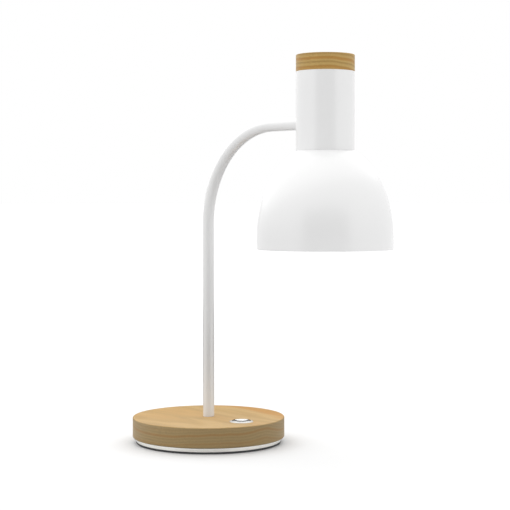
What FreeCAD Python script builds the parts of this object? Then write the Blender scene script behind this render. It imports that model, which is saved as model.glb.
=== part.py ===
import FreeCAD
import Part
import math
import os

# Desk lamp: a round wooden base, a bent tube stem and a bell shade under a socket sleeve.
# Millimetres. The origin is on the resting surface, on the stem's axis. +Z is up and +X is the
# way the arm reaches, so the button and the head lie on +X and the cable gland on -X.

V = FreeCAD.Vector
UP = V(0, 0, 1)
ALONG_ARM = V(1, 0, 0)

# ---------------------------------------------------------------- clearances
press_gap = 0.02          # pressed, threaded and screwed pieces, on the radius
running_gap = 0.07        # a hole that turns or slides on a shaft, on the radius
slip_gap = 0.15           # a hole that a fixed piece passes through, on the radius
free_gap = 0.3            # moving faces that pass without touching

# ---------------------------------------------------------------- base
base_radius = 85.0
foot_thickness = 2.0
plate_thickness = 4.5
plate_inset = 4.0         # foot and plate stand back from the wood's side
wood_thickness = 22.5
wood_ceiling = 8.5        # wood left above the pocket
pocket_wall = 13.0        # wood left round the pocket
base_edge_round = 1.2

plate_bottom = foot_thickness
wood_bottom = plate_bottom + plate_thickness
wood_top = wood_bottom + wood_thickness
pocket_top = wood_top - wood_ceiling
pocket_radius = base_radius - pocket_wall
plate_radius = base_radius - plate_inset

# ---------------------------------------------------------------- screws
wood_screw_radius = 1.75
wood_screw_head = 3.5
machine_screw_radius = 2.0
machine_screw_head = 4.0
pan_head_height = 2.0
pan_head_flat = 0.8       # radius of the head's flat end, as a share of the head's radius
screw_tip = 2.0           # length of the pointed end
drive_across_flats = 2.5  # hexagonal drive recess
drive_depth = 1.2

base_screw_count = 4
base_screw_inset = 5.0    # from the plate's edge to the screw's axis
base_screw_length = 16.0
base_screw_circle = plate_radius - base_screw_inset

# ---------------------------------------------------------------- ballast
ballast_thickness = 10.0
ballast_bore = 34.0
ballast_wall_gap = 2.0
ballast_channel = 16.0    # half the width of the way left for switch, leads and block
ballast_screw_length = 12.0
ballast_screw_spread = 30.0   # degrees each side of the weight's middle
ballast_radius = pocket_radius - ballast_wall_gap
ballast_screw_circle = (ballast_bore + ballast_radius) / 2

# ---------------------------------------------------------------- stem
tube_radius = 6.25
tube_wall = 1.25
bend_radius = 105.0
arm_height = 350.0        # the arm's centreline above the resting surface
head_reach = 183.0        # stem axis to head axis
flange_radius = 22.0
flange_thickness = 3.0
flange_screw_circle = 15.0
flange_screw_count = 3
flange_screw_turn = 60.0  # degrees from the arm's direction to the first screw
flange_screw_length = 9.0

tube_bore = tube_radius - tube_wall
flange_bottom = pocket_top - flange_thickness

# ---------------------------------------------------------------- sleeve and wooden cap
sleeve_radius = 30.0
sleeve_wall = 1.5
sleeve_rise = 52.0        # from the arm's centreline to the sleeve's top
cap_thickness = 17.0
cap_edge_round = 0.8
sleeve_bore = sleeve_radius - sleeve_wall
sleeve_top = arm_height + sleeve_rise

# ---------------------------------------------------------------- arm pivot, along the arm's axis
tube_entry = 2.5          # the tube's end lies this far inside the sleeve's bore
spigot_press = 17.0       # length of spigot pressed into the tube
lead_hole = 3.2           # radius of the way for the lead through spigot and nipple
friction_washer_radius = 8.5
friction_washer_thickness = 1.0
bracket_thickness = 2.0
stop_washer_thickness = 1.2
disc_spring_thickness = 0.8
disc_spring_cone = 0.4
thread_nut_height = 4.0
thread_nut_flats = 14.0
spigot_overrun = 1.1
tilt_limit = 40.0         # degrees each way
stop_spare = 1.0          # degrees between tab and slot end at the limit
tab_half_width = 1.5
tab_depth = 2.0           # radial depth of the stop tab
tab_gap = 0.8             # from the washer's edge to the tab

thread_radius = tube_bore - press_gap
tube_end = head_reach - sleeve_bore + tube_entry
outer_washer_start = tube_end
bracket_front = outer_washer_start + friction_washer_thickness
bracket_back = bracket_front + bracket_thickness
stop_washer_start = bracket_back + friction_washer_thickness
disc_spring_start = stop_washer_start + stop_washer_thickness
pivot_nut_start = disc_spring_start + disc_spring_thickness + disc_spring_cone
spigot_end = pivot_nut_start + thread_nut_height + spigot_overrun
tab_inner = friction_washer_radius + tab_gap
tab_outer = tab_inner + tab_depth

# ---------------------------------------------------------------- head bracket
bracket_gap = 0.8         # from the strip's corners to the sleeve's bore
lower_leg_drop = 11.5     # from the arm's centreline to the lower leg's top face
lower_leg_overrun = 14.0  # past the head's axis
upper_leg_overrun = 22.0
cap_screw_spacing = 20.0
cap_screw_length = 15.0
bracket_half_width = math.sqrt((sleeve_bore - bracket_gap) ** 2 - (head_reach - bracket_front) ** 2)
lower_leg_top = arm_height - lower_leg_drop
lower_leg_bottom = lower_leg_top - bracket_thickness
upper_leg_top = sleeve_top - sleeve_wall
upper_leg_bottom = upper_leg_top - bracket_thickness

# ---------------------------------------------------------------- lamp holder
nipple_nut_height = 3.0
nipple_overrun = 0.5
nipple_engagement = 4.0   # length of nipple below the lower leg
holder_cap_height = 10.5
holder_cap_radius = 21.5
holder_cap_top_radius = 12.0
holder_cap_wall = 1.8
holder_cap_side = 4.5     # height of the cap's straight side
skirt_radius = 19.8
skirt_wall = 1.9
skirt_length = 38.0       # below the cap
skirt_thread = 4.0        # length of skirt screwed into the cap
insert_radius = 17.5
insert_thickness = 10.0
insert_top_rise = 2.0     # the insert's top above the cap's lower edge
insert_recess = 2.5       # depth of the centre contact's recess
shell_bore = 13.5
shell_wall = 0.4
shell_length = 24.0
contact_drop = 3.0        # from the insert's underside to the contact's working face
contact_width = 6.0
contact_thickness = 0.5
contact_length = 12.0
ring_height = 6.0
ring_radius = 24.5
ring_notches = 12
ring_notch_radius = 1.2

holder_shoulder = lower_leg_bottom - holder_cap_height
nipple_top = lower_leg_top + nipple_nut_height + nipple_overrun
nipple_bottom = lower_leg_bottom - nipple_engagement
skirt_bore = skirt_radius - skirt_wall
skirt_bottom = holder_shoulder - skirt_length
insert_top = holder_shoulder + insert_top_rise
insert_bottom = insert_top - insert_thickness
contact_face = insert_bottom - contact_drop

# ---------------------------------------------------------------- shade
shade_radius = 70.0
shade_height = 105.0      # rim to the top of the neck
shade_wall = 1.2
shade_side_height = 11.5  # height of the upright wall above the rim
shoulder_offset = 6.0     # from the head's axis to the centre of the shoulder's ellipse
seat_margin = 0.4         # flat seat outside the sleeve's rim
neck_height = 4.6         # from the seat to the top of the neck, inside the sleeve
neck_clearance = 0.9      # neck inside the sleeve's bore
rim_round = 0.35

neck_radius = sleeve_bore - neck_clearance
neck_top = holder_shoulder
seat_radius = sleeve_radius + seat_margin
seat_height = neck_top - neck_height
rim_height = neck_top - shade_height
side_top = rim_height + shade_side_height
# the shoulder is an upright ellipse of these half width and half height, cut off at the seat
shoulder_width = shade_radius - shoulder_offset
seat_share = (seat_radius - shoulder_offset) / shoulder_width
shoulder_height = (seat_height - side_top) / math.sqrt(1 - seat_share ** 2)
sleeve_bottom = seat_height
ring_top = neck_top - shade_wall
ring_bottom = ring_top - ring_height

# ---------------------------------------------------------------- bulb
tip_radius = 4.5
tip_height = 1.0
insulator_height = 3.0
insulator_top_radius = 5.5
insulator_radius = 11.5
screw_cap_radius = 13.2
screw_cap_wall = 0.6
screw_cap_height = 23.0
screw_thread_depth = 0.7
screw_thread_pitch = 3.6
bulb_collar_height = 16.0
bulb_collar_top_radius = 13.8
globe_radius = 22.5
globe_wall = 1.2
globe_sink = 14.0         # from the collar's wide end down to the globe's centre
board_thickness = 1.5
board_radius = 14.5
chip_count = 6
chip_circle = 9.0
chip_side = 3.0
chip_height = 0.7

tip_bottom = contact_face - tip_height
insulator_bottom = tip_bottom - insulator_height
screw_cap_bottom = insulator_bottom - screw_cap_height
collar_bottom = screw_cap_bottom - bulb_collar_height
globe_centre = collar_bottom - globe_sink
collar_radius = math.sqrt(globe_radius ** 2 - globe_sink ** 2)

# ---------------------------------------------------------------- button and switch
button_inset = 30.0       # from the wood's side to the button's axis
bezel_radius = 13.0
bezel_height = 1.0        # above the wood
bezel_rim = 0.3           # upright side of the flange, under its slope
bezel_land = 0.5          # flat width at the flange's top
barrel_radius = 12.0
barrel_wall = 1.0
barrel_length = 15.0      # below the wood's top
lip_depth = 2.0
lip_width = 0.6           # how far the lip stands inside the barrel's bore
button_proud = 1.5        # the button's edge above the wood
button_travel = 2.0
button_edge_round = 0.5
dish_margin = 1.2         # flat rim left round the dish
dish_depth = 1.4
retainer_thickness = 2.0
plunger_radius = 3.0
plunger_length = 9.0
switch_body_height = 11.0
plunger_spare = 1.0       # room under the plunger when it is pressed
spring_height = 6.0
spring_wire = 0.7
spring_turns = 3.5
spring_mean_radius = 6.0
ring_nut_radius = 15.5
ring_nut_height = 3.0
ring_nut_slots = 4
ring_nut_slot = 2.5
switch_boss_length = 13.0
switch_boss_half_width = 4.0
switch_boss_height = 5.0

button_reach = base_radius - button_inset
bezel_top = wood_top + bezel_height
lip_bottom = bezel_top - lip_depth
barrel_bore = barrel_radius - barrel_wall
barrel_bottom = wood_top - barrel_length
lip_bore = barrel_bore - lip_width
button_face_radius = lip_bore - free_gap
retainer_radius = barrel_bore - free_gap
button_top = wood_top + button_proud
retainer_bottom = lip_bottom - retainer_thickness
plunger_bottom = retainer_bottom - plunger_length
switch_top = retainer_bottom - spring_height
switch_bottom = switch_top - switch_body_height

# ---------------------------------------------------------------- gland, terminal block and leads
gland_height = 14.5
gland_bore = 3.1
gland_barrel_radius = 4.4
gland_flange_radius = 6.0
gland_flange_thickness = 2.4
gland_overrun = 1.0       # into the pocket
block_length = 17.0
block_width = 17.0
block_height = 12.0
block_start = 35.0        # stem axis to the block's near face
block_screw_length = 17.0
block_screw_recess = 2.5
clamp_screw_radius = 1.8
clamp_screw_sink = 0.8
clamp_screw_length = 5.0
clamp_screw_offset = 5.0
clamp_slot_width = 0.6
clamp_slot_depth = 0.8
stem_lead_radius = 2.5
switch_lead_radius = 2.0
lead_height = 11.5
stem_lead_bend = 6.5
holder_lead_bend = 8.0
switch_lead_side = 9.0    # how far the switch lead passes beside the stem's axis
switch_lead_start = 6.0   # its distance from the middle where it leaves block and switch
switch_lead_bend = 16.0

block_bottom = pocket_top - block_height


# ---------------------------------------------------------------- shared shapes
def cylinder(radius, low, high, x=0.0, y=0.0):
    """Upright cylinder between two heights."""
    return Part.makeCylinder(radius, high - low, V(x, y, low), UP)


def ring(outer, inner, low, high, x=0.0, y=0.0):
    """Upright ring between two heights."""
    return cylinder(outer, low, high, x, y).cut(cylinder(inner, low, high, x, y))


def arm_cylinder(radius, start, end):
    """Cylinder on the arm's axis between two places along X."""
    return Part.makeCylinder(radius, end - start, V(start, 0, arm_height), ALONG_ARM)


def arm_ring(outer, inner, start, end):
    """Ring on the arm's axis between two places along X."""
    return arm_cylinder(outer, start, end).cut(arm_cylinder(inner, start, end))


def block(low, high):
    """Rectangular block between two corners."""
    low = V(*low)
    size = V(*high) - low
    return Part.makeBox(size.x, size.y, size.z, low)


def prism(across_flats, low, high, x=0.0, y=0.0):
    """Upright hexagonal prism."""
    circumradius = across_flats / math.sqrt(3)
    corners = [V(across, along, low) for across, along in on_circle(6, circumradius, 0.0, x, y)]
    return Part.Face(Part.makePolygon(corners + corners[:1])).extrude(V(0, 0, high - low))


def turned(edges, x=0.0):
    """Solid turned about the upright line at x, from the closed outline that the edges make."""
    face = Part.Face(Part.Wire(edges))
    return face.revolve(V(x, 0, 0), UP, 360)


def turned_corners(outline, x=0.0):
    """Solid turned about the upright line at x, from (radius, height) corners."""
    corners = [V(x + radius, 0, height) for radius, height in outline]
    return turned(Part.makePolygon(corners + corners[:1]).Edges, x)


def on_circle(count, radius, first=0.0, x=0.0, y=0.0):
    """Places evenly spaced on a circle round the upright line at x and y."""
    places = []
    for step in range(count):
        angle = math.radians(first + 360.0 * step / count)
        places.append((x + radius * math.cos(angle), y + radius * math.sin(angle)))
    return places


def edges_at(shape, height):
    """Round edges of a shape that lie flat at one height."""
    found = []
    for edge in shape.Edges:
        box = edge.BoundBox
        if abs(box.ZMin - height) < 1e-4 and abs(box.ZMax - height) < 1e-4:
            found.append(edge)
    return found


def route_edges(points, bends):
    """Straight runs through the points, joined by tangent arcs with the given radii."""
    points = [V(*point) for point in points]
    edges = []
    start = points[0]
    for corner, after, radius in zip(points[1:-1], points[2:], bends):
        inward = (corner - start).normalize()
        outward = (after - corner).normalize()
        turn = inward.getAngle(outward)
        setback = radius * math.tan(turn / 2)
        arc_start = corner - inward * setback
        arc_end = corner + outward * setback
        to_centre = (outward - inward).normalize()
        middle = corner + to_centre * (radius / math.cos(turn / 2) - radius)
        edges.append(Part.LineSegment(start, arc_start).toShape())
        edges.append(Part.Arc(arc_start, middle, arc_end).toShape())
        start = arc_end
    edges.append(Part.LineSegment(start, points[-1]).toShape())
    return edges


def swept_rod(points, bends, radius):
    """Round rod along a route."""
    edges = route_edges(points, bends)
    heading = V(*points[1]) - V(*points[0])
    section = Part.Wire(Part.Circle(V(*points[0]), heading, radius).toShape())
    return Part.Wire(edges).makePipeShell([section], True, False)


# ---------------------------------------------------------------- screws, head down and point up
def countersunk_screw(radius, head_radius, length, low, x, y):
    """Countersunk screw whose flat head lies at height low."""
    sink = head_radius - radius
    outline = [(0, low), (head_radius, low), (radius, low + sink), (radius, low + length - screw_tip)]
    outline += [(0, low + length)]
    screw = turned_corners(outline)
    screw = screw.cut(prism(drive_across_flats, low, low + drive_depth))
    screw.translate(V(x, y, 0))
    return screw


def countersunk_hole(radius, head_radius, length, low, x, y):
    """Space that a countersunk screw needs."""
    sink = head_radius - radius
    hole = cylinder(radius + press_gap, low, low + length, x, y)
    seat = Part.makeCone(head_radius + press_gap, radius + press_gap, sink, V(x, y, low), UP)
    return hole.fuse(seat)


def pan_screw(radius, head_radius, length, seat, x, y):
    """Pan-head screw whose head bears against a face at height seat."""
    low = seat - pan_head_height
    outline = [(0, low), (head_radius * pan_head_flat, low), (head_radius, low + pan_head_height / 2)]
    outline += [(head_radius, seat), (radius, seat), (radius, seat + length - screw_tip)]
    outline += [(0, seat + length)]
    screw = turned_corners(outline)
    screw = screw.cut(prism(drive_across_flats, low, low + drive_depth))
    screw.translate(V(x, y, 0))
    return screw


def shank_hole(radius, length, seat, x, y):
    """Space that a pan-head screw's shank needs above its seat."""
    return cylinder(radius + press_gap, seat, seat + length, x, y)


def base_screw_places():
    """Places of the screws through the base plate into the wood."""
    return on_circle(base_screw_count, base_screw_circle, 180.0 / base_screw_count)


def ballast_screw_places(side):
    """Places of one weight's screws; side is 1 on +Y and -1 on -Y."""
    places = []
    for turn in (-ballast_screw_spread, ballast_screw_spread):
        angle = math.radians(90 + turn)
        places.append((ballast_screw_circle * math.cos(angle),
                       side * ballast_screw_circle * math.sin(angle)))
    return places


def flange_screw_places():
    """Places of the screws through the stem's flange."""
    return on_circle(flange_screw_count, flange_screw_circle, flange_screw_turn)


def cap_screw_places():
    """Places of the screws through the sleeve's top into the wooden cap."""
    half = cap_screw_spacing / 2
    return [(head_reach - half, 0.0), (head_reach + half, 0.0)]


# ---------------------------------------------------------------- base pieces
def foot_pad():
    """Rubber pad under the plate."""
    return cylinder(plate_radius, 0, foot_thickness)


def base_plate():
    """Steel plate that closes the pocket, countersunk for its screws and the weights' screws."""
    plate = cylinder(plate_radius, plate_bottom, wood_bottom)
    for x, y in base_screw_places():
        plate = plate.cut(countersunk_hole(wood_screw_radius, wood_screw_head, base_screw_length,
                                           plate_bottom, x, y))
    for side in (-1, 1):
        for x, y in ballast_screw_places(side):
            plate = plate.cut(countersunk_hole(machine_screw_radius, machine_screw_head,
                                               ballast_screw_length, plate_bottom, x, y))
    return plate


def wood_base():
    """Turned wooden puck with a pocket below, and ways for stem, button barrel and gland."""
    puck = cylinder(base_radius, wood_bottom, wood_top)
    puck = puck.makeFillet(base_edge_round, edges_at(puck, wood_top) + edges_at(puck, wood_bottom))
    puck = puck.cut(cylinder(pocket_radius, wood_bottom, pocket_top))
    puck = puck.cut(cylinder(tube_radius + slip_gap, pocket_top, wood_top))
    puck = puck.cut(cylinder(barrel_radius + slip_gap, pocket_top, wood_top, button_reach))
    for x, y in base_screw_places():
        puck = puck.cut(shank_hole(wood_screw_radius, base_screw_length, plate_bottom, x, y))
    for x, y in flange_screw_places():
        puck = puck.cut(shank_hole(wood_screw_radius, flange_screw_length, flange_bottom, x, y))
    block_middle = -block_start - block_length / 2
    screw_seat = block_bottom + block_screw_recess
    puck = puck.cut(shank_hole(wood_screw_radius, block_screw_length, screw_seat, block_middle, 0))
    barrel_way = Part.makeCylinder(gland_barrel_radius + press_gap, pocket_wall + gland_overrun,
                                   V(-base_radius, 0, gland_height), ALONG_ARM)
    flange_seat = Part.makeCylinder(gland_flange_radius + slip_gap, gland_flange_thickness,
                                    V(-base_radius, 0, gland_height), ALONG_ARM)
    return puck.cut(barrel_way).cut(flange_seat)


def base_screws():
    """Wood screws through the base plate into the wood."""
    screws = []
    for x, y in base_screw_places():
        screws.append(countersunk_screw(wood_screw_radius, wood_screw_head, base_screw_length,
                                        plate_bottom, x, y))
    return Part.makeCompound(screws)


def ballast_weight(side):
    """One cast weight, a half ring beside the channel; side is 1 on +Y and -1 on -Y."""
    top = wood_bottom + ballast_thickness
    weight = ring(ballast_radius, ballast_bore, wood_bottom, top)
    near = side * ballast_channel
    far = side * base_radius
    keep = block((-base_radius, min(near, far), wood_bottom), (base_radius, max(near, far), top))
    weight = weight.common(keep)
    for x, y in ballast_screw_places(side):
        weight = weight.cut(countersunk_hole(machine_screw_radius, machine_screw_head,
                                             ballast_screw_length, plate_bottom, x, y))
    return weight


def ballast_screws():
    """Machine screws that hold both weights to the base plate."""
    screws = []
    for side in (-1, 1):
        for x, y in ballast_screw_places(side):
            screws.append(countersunk_screw(machine_screw_radius, machine_screw_head,
                                            ballast_screw_length, plate_bottom, x, y))
    return Part.makeCompound(screws)


def cable_gland():
    """Rubber bush for the mains lead, flush with the wood at the back."""
    mouth = V(-base_radius, 0, gland_height)
    length = pocket_wall + gland_overrun
    barrel = Part.makeCylinder(gland_barrel_radius, length, mouth, ALONG_ARM)
    flange = Part.makeCylinder(gland_flange_radius, gland_flange_thickness, mouth, ALONG_ARM)
    bore = Part.makeCylinder(gland_bore, length, mouth, ALONG_ARM)
    return barrel.fuse(flange).cut(bore).removeSplitter()


def clamp_screw_places():
    """Places of the terminal block's clamp screws."""
    middle = -block_start - block_length / 2
    places = []
    for dx in (-clamp_screw_offset, clamp_screw_offset):
        for dy in (-clamp_screw_offset, clamp_screw_offset):
            places.append((middle + dx, dy))
    return places


def terminal_block():
    """Moulded block that joins the mains lead to the leads of stem and switch."""
    far = -block_start - block_length
    middle = (far - block_start) / 2
    half = block_width / 2
    body = block((far, -half, block_bottom), (-block_start, half, pocket_top))
    for x, y in clamp_screw_places():
        body = body.cut(cylinder(clamp_screw_radius + press_gap, block_bottom,
                                 block_bottom + clamp_screw_sink + clamp_screw_length, x, y))
    head_way = cylinder(wood_screw_head + slip_gap, block_bottom, block_bottom + block_screw_recess,
                        middle)
    shank_way = cylinder(wood_screw_radius + press_gap, block_bottom, pocket_top, middle)
    return body.cut(head_way).cut(shank_way)


def terminal_screws():
    """Slotted clamp screws of the terminal block."""
    low = block_bottom + clamp_screw_sink
    screws = []
    for x, y in clamp_screw_places():
        screw = cylinder(clamp_screw_radius, low, low + clamp_screw_length, x, y)
        slot = block((x - clamp_screw_radius, y - clamp_slot_width / 2, low),
                     (x + clamp_screw_radius, y + clamp_slot_width / 2, low + clamp_slot_depth))
        screws.append(screw.cut(slot))
    return Part.makeCompound(screws)


def block_screw():
    """Wood screw that holds the terminal block under the wood."""
    middle = -block_start - block_length / 2
    return pan_screw(wood_screw_radius, wood_screw_head, block_screw_length,
                     block_bottom + block_screw_recess, middle, 0)


# ---------------------------------------------------------------- stem pieces
def stem_tube():
    """Tube from the flange up, round the bend and into the sleeve."""
    corners = [(0, 0, flange_bottom), (0, 0, arm_height), (tube_end, 0, arm_height)]
    outside = swept_rod(corners, [bend_radius], tube_radius)
    inside = swept_rod(corners, [bend_radius], tube_bore)
    return outside.cut(inside)


def stem_flange():
    """Steel disc welded round the stem's foot, under the wood."""
    flange = ring(flange_radius, tube_radius + press_gap, flange_bottom, pocket_top)
    for x, y in flange_screw_places():
        flange = flange.cut(shank_hole(wood_screw_radius, flange_screw_length, flange_bottom, x, y))
    return flange


def flange_screws():
    """Wood screws through the stem's flange into the wood."""
    screws = []
    for x, y in flange_screw_places():
        screws.append(pan_screw(wood_screw_radius, wood_screw_head, flange_screw_length,
                                flange_bottom, x, y))
    return Part.makeCompound(screws)


def stem_lead():
    """Lead from the terminal block, under the flange and up through the stem to the arm's end."""
    corners = [(-block_start, 0, lead_height), (0, 0, lead_height), (0, 0, arm_height),
               (spigot_end, 0, arm_height)]
    return swept_rod(corners, [stem_lead_bend, bend_radius], stem_lead_radius)


def arm_spigot():
    """Hollow threaded spigot pressed into the arm's end."""
    return arm_ring(thread_radius, lead_hole, tube_end - spigot_press, spigot_end)


def friction_washers():
    """Nylon washers on both sides of the bracket."""
    outer = arm_ring(friction_washer_radius, thread_radius + press_gap, outer_washer_start,
                     bracket_front)
    inner = arm_ring(friction_washer_radius, thread_radius + press_gap, bracket_back,
                     stop_washer_start)
    return Part.makeCompound([outer, inner])


def stop_washer():
    """Washer keyed to the spigot, with a tab that runs in the bracket's slot."""
    washer = arm_ring(friction_washer_radius, thread_radius + press_gap, stop_washer_start,
                      disc_spring_start)
    low = arm_height + thread_radius + tube_wall
    arm = block((stop_washer_start, -tab_half_width, low),
                (disc_spring_start, tab_half_width, arm_height + tab_outer))
    tab = block((bracket_front + free_gap, -tab_half_width, arm_height + tab_inner),
                (disc_spring_start, tab_half_width, arm_height + tab_outer))
    return washer.fuse(arm).fuse(tab).removeSplitter()


def disc_spring():
    """Coned spring washer that loads the pivot."""
    inner = thread_radius + running_gap
    outer = friction_washer_radius
    outline = [(disc_spring_start, inner), (disc_spring_start + disc_spring_thickness, inner),
               (pivot_nut_start, outer), (pivot_nut_start - disc_spring_thickness, outer)]
    corners = [V(x, 0, arm_height + radius) for x, radius in outline]
    face = Part.Face(Part.makePolygon(corners + corners[:1]))
    return face.revolve(V(0, 0, arm_height), ALONG_ARM, 360)


def pivot_nut():
    """Hexagonal lock nut on the spigot."""
    nut = prism(thread_nut_flats, 0, thread_nut_height)
    nut = nut.cut(cylinder(thread_radius + press_gap, 0, thread_nut_height))
    nut.rotate(V(0, 0, 0), V(0, 1, 0), 90)
    nut.translate(V(pivot_nut_start, 0, arm_height))
    return nut


# ---------------------------------------------------------------- button and switch pieces
def button_cap():
    """Push button with a dished top, a retaining rim and a plunger."""
    x = button_reach
    face = cylinder(button_face_radius, lip_bottom, button_top, x)
    face = face.makeFillet(button_edge_round, edges_at(face, button_top))
    dish_radius = button_face_radius - dish_margin
    ball_radius = (dish_radius ** 2 + dish_depth ** 2) / (2 * dish_depth)
    ball = Part.makeSphere(ball_radius, V(x, 0, button_top - dish_depth + ball_radius))
    retainer = cylinder(retainer_radius, retainer_bottom, lip_bottom, x)
    plunger = cylinder(plunger_radius, plunger_bottom, retainer_bottom, x)
    return face.cut(ball).fuse(retainer).fuse(plunger).removeSplitter()


def button_bezel():
    """Threaded barrel with a sloped flange, which guides the button."""
    x = button_reach
    rim_top = wood_top + bezel_rim
    rim = cylinder(bezel_radius, wood_top, rim_top, x)
    slope = Part.makeCone(bezel_radius, lip_bore + bezel_land, bezel_top - rim_top,
                          V(x, 0, rim_top))
    barrel = cylinder(barrel_radius, barrel_bottom, wood_top, x)
    body = barrel.fuse(rim).fuse(slope)
    body = body.cut(cylinder(lip_bore, lip_bottom, bezel_top, x))
    return body.cut(cylinder(barrel_bore, barrel_bottom, lip_bottom, x)).removeSplitter()


def switch_nut():
    """Slotted ring nut under the wood that holds the bezel."""
    low = pocket_top - ring_nut_height
    nut = ring(ring_nut_radius, barrel_radius + press_gap, low, pocket_top, button_reach)
    for step in range(ring_nut_slots):
        angle = 360.0 * step / ring_nut_slots
        slot = block((barrel_radius + ring_nut_slot / 2, -ring_nut_slot / 2, low),
                     (ring_nut_radius + ring_nut_slot, ring_nut_slot / 2, pocket_top))
        slot.rotate(V(0, 0, 0), UP, angle)
        slot.translate(V(button_reach, 0, 0))
        nut = nut.cut(slot)
    return nut


def switch_body():
    """Push switch in the bezel's barrel, with a boss where its lead enters."""
    x = button_reach
    body = cylinder(barrel_bore - press_gap, switch_bottom, switch_top, x)
    boss_top = switch_bottom + switch_boss_height
    middle = -switch_lead_start
    boss = block((x - switch_boss_length, middle - switch_boss_half_width, switch_bottom),
                 (x, middle + switch_boss_half_width, boss_top))
    low = plunger_bottom - button_travel - plunger_spare
    return body.fuse(boss).cut(cylinder(plunger_radius + running_gap, low, switch_top, x))


def button_spring():
    """Return spring between the switch and the button's retaining rim."""
    half_wire = spring_wire / 2
    pitch = (spring_height - spring_wire) / spring_turns
    helix = Part.makeHelix(pitch, pitch * spring_turns, spring_mean_radius)
    section = Part.Wire(Part.Circle(V(spring_mean_radius, 0, 0), V(0, 1, 0), half_wire).toShape())
    spring = Part.Wire(helix.Edges).makePipeShell([section], True, True)
    spring.translate(V(button_reach, 0, switch_top + half_wire))
    return spring


def switch_lead():
    """Lead from the terminal block, past the stem's foot to the switch."""
    end_x = button_reach - switch_boss_length
    corners = [(-block_start, -switch_lead_start, lead_height),
               (-flange_radius, -switch_lead_start, lead_height),
               (-flange_radius / 2, -switch_lead_side, lead_height),
               (flange_radius / 2, -switch_lead_side, lead_height),
               (flange_radius, -switch_lead_start, lead_height),
               (end_x, -switch_lead_start, lead_height)]
    return swept_rod(corners, [switch_lead_bend] * 4, switch_lead_radius)


# ---------------------------------------------------------------- head pieces
def stop_slot():
    """Curved slot in the bracket that the stop tab runs in."""
    tab_angle = math.degrees(math.asin(tab_half_width / tab_inner))
    sweep = 2 * (tilt_limit + tab_angle + stop_spare)
    low = arm_height + tab_inner - free_gap
    high = arm_height + tab_outer + free_gap
    corners = [V(bracket_front, 0, low), V(bracket_back, 0, low), V(bracket_back, 0, high),
               V(bracket_front, 0, high), V(bracket_front, 0, low)]
    face = Part.Face(Part.makePolygon(corners))
    face.rotate(V(0, 0, arm_height), ALONG_ARM, -sweep / 2)
    return face.revolve(V(0, 0, arm_height), ALONG_ARM, sweep)


def head_bracket():
    """Steel strip bent to a C that carries lamp holder, sleeve and wooden cap from the arm."""
    half = bracket_half_width
    spine = block((bracket_front, -half, lower_leg_bottom), (bracket_back, half, upper_leg_top))
    lower_leg = block((bracket_front, -half, lower_leg_bottom),
                      (head_reach + lower_leg_overrun, half, lower_leg_top))
    upper_end = head_reach + upper_leg_overrun
    upper_leg = block((bracket_front, -half, upper_leg_bottom), (upper_end, half, upper_leg_top))
    bracket = spine.fuse(lower_leg).fuse(upper_leg).removeSplitter()
    bracket = bracket.cut(arm_cylinder(thread_radius + running_gap, bracket_front, bracket_back))
    bracket = bracket.cut(stop_slot())
    bracket = bracket.cut(cylinder(thread_radius + press_gap, lower_leg_bottom, lower_leg_top,
                                   head_reach))
    for x, y in cap_screw_places():
        bracket = bracket.cut(shank_hole(wood_screw_radius, bracket_thickness, upper_leg_bottom, x, y))
    return bracket


def socket_sleeve():
    """Drawn aluminium cup, open below, with a hole in its side for the arm."""
    sleeve = cylinder(sleeve_radius, sleeve_bottom, sleeve_top, head_reach)
    sleeve = sleeve.cut(cylinder(sleeve_bore, sleeve_bottom, upper_leg_top, head_reach))
    arm_way = arm_cylinder(tube_radius + free_gap, head_reach - sleeve_radius - sleeve_wall, head_reach)
    sleeve = sleeve.cut(arm_way)
    for x, y in cap_screw_places():
        sleeve = sleeve.cut(shank_hole(wood_screw_radius, sleeve_wall, upper_leg_top, x, y))
    return sleeve


def wood_cap():
    """Turned wooden disc on top of the sleeve."""
    top = sleeve_top + cap_thickness
    cap = cylinder(sleeve_radius, sleeve_top, top, head_reach)
    cap = cap.makeFillet(cap_edge_round, edges_at(cap, top))
    for x, y in cap_screw_places():
        cap = cap.cut(shank_hole(wood_screw_radius, cap_screw_length, upper_leg_bottom, x, y))
    return cap


def cap_screws():
    """Wood screws up through the bracket and the sleeve's top into the wooden cap."""
    screws = []
    for x, y in cap_screw_places():
        screws.append(pan_screw(wood_screw_radius, wood_screw_head, cap_screw_length,
                                upper_leg_bottom, x, y))
    return Part.makeCompound(screws)


def holder_nipple():
    """Hollow threaded nipple between bracket and lamp holder."""
    return ring(thread_radius, lead_hole, nipple_bottom, nipple_top, head_reach)


def holder_nut():
    """Nut on the nipple, above the bracket's lower leg."""
    high = lower_leg_top + nipple_nut_height
    nut = prism(thread_nut_flats, lower_leg_top, high, head_reach)
    return nut.cut(cylinder(thread_radius + press_gap, lower_leg_top, high, head_reach))


def holder_lead():
    """Lead from the arm's end down through the nipple to the insert."""
    corners = [(spigot_end, 0, arm_height), (head_reach, 0, arm_height), (head_reach, 0, insert_top)]
    return swept_rod(corners, [holder_lead_bend], stem_lead_radius)


def holder_cap():
    """Moulded upper half of the lamp holder."""
    top = lower_leg_bottom
    side_top_height = holder_shoulder + holder_cap_side
    thread_bore = skirt_radius + press_gap
    inner_top = thread_radius + press_gap
    roof = top - holder_cap_wall
    inner_side = holder_shoulder + skirt_thread + free_gap
    outline = [(inner_top, top), (holder_cap_top_radius, top), (holder_cap_radius, side_top_height),
               (holder_cap_radius, holder_shoulder), (thread_bore, holder_shoulder),
               (thread_bore, inner_side), (holder_cap_top_radius - holder_cap_wall, roof),
               (inner_top, roof)]
    return turned_corners(outline, head_reach)


def holder_skirt():
    """Moulded lower half of the lamp holder, threaded outside for the shade ring."""
    return ring(skirt_radius, skirt_bore, skirt_bottom, holder_shoulder + skirt_thread, head_reach)


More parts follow.
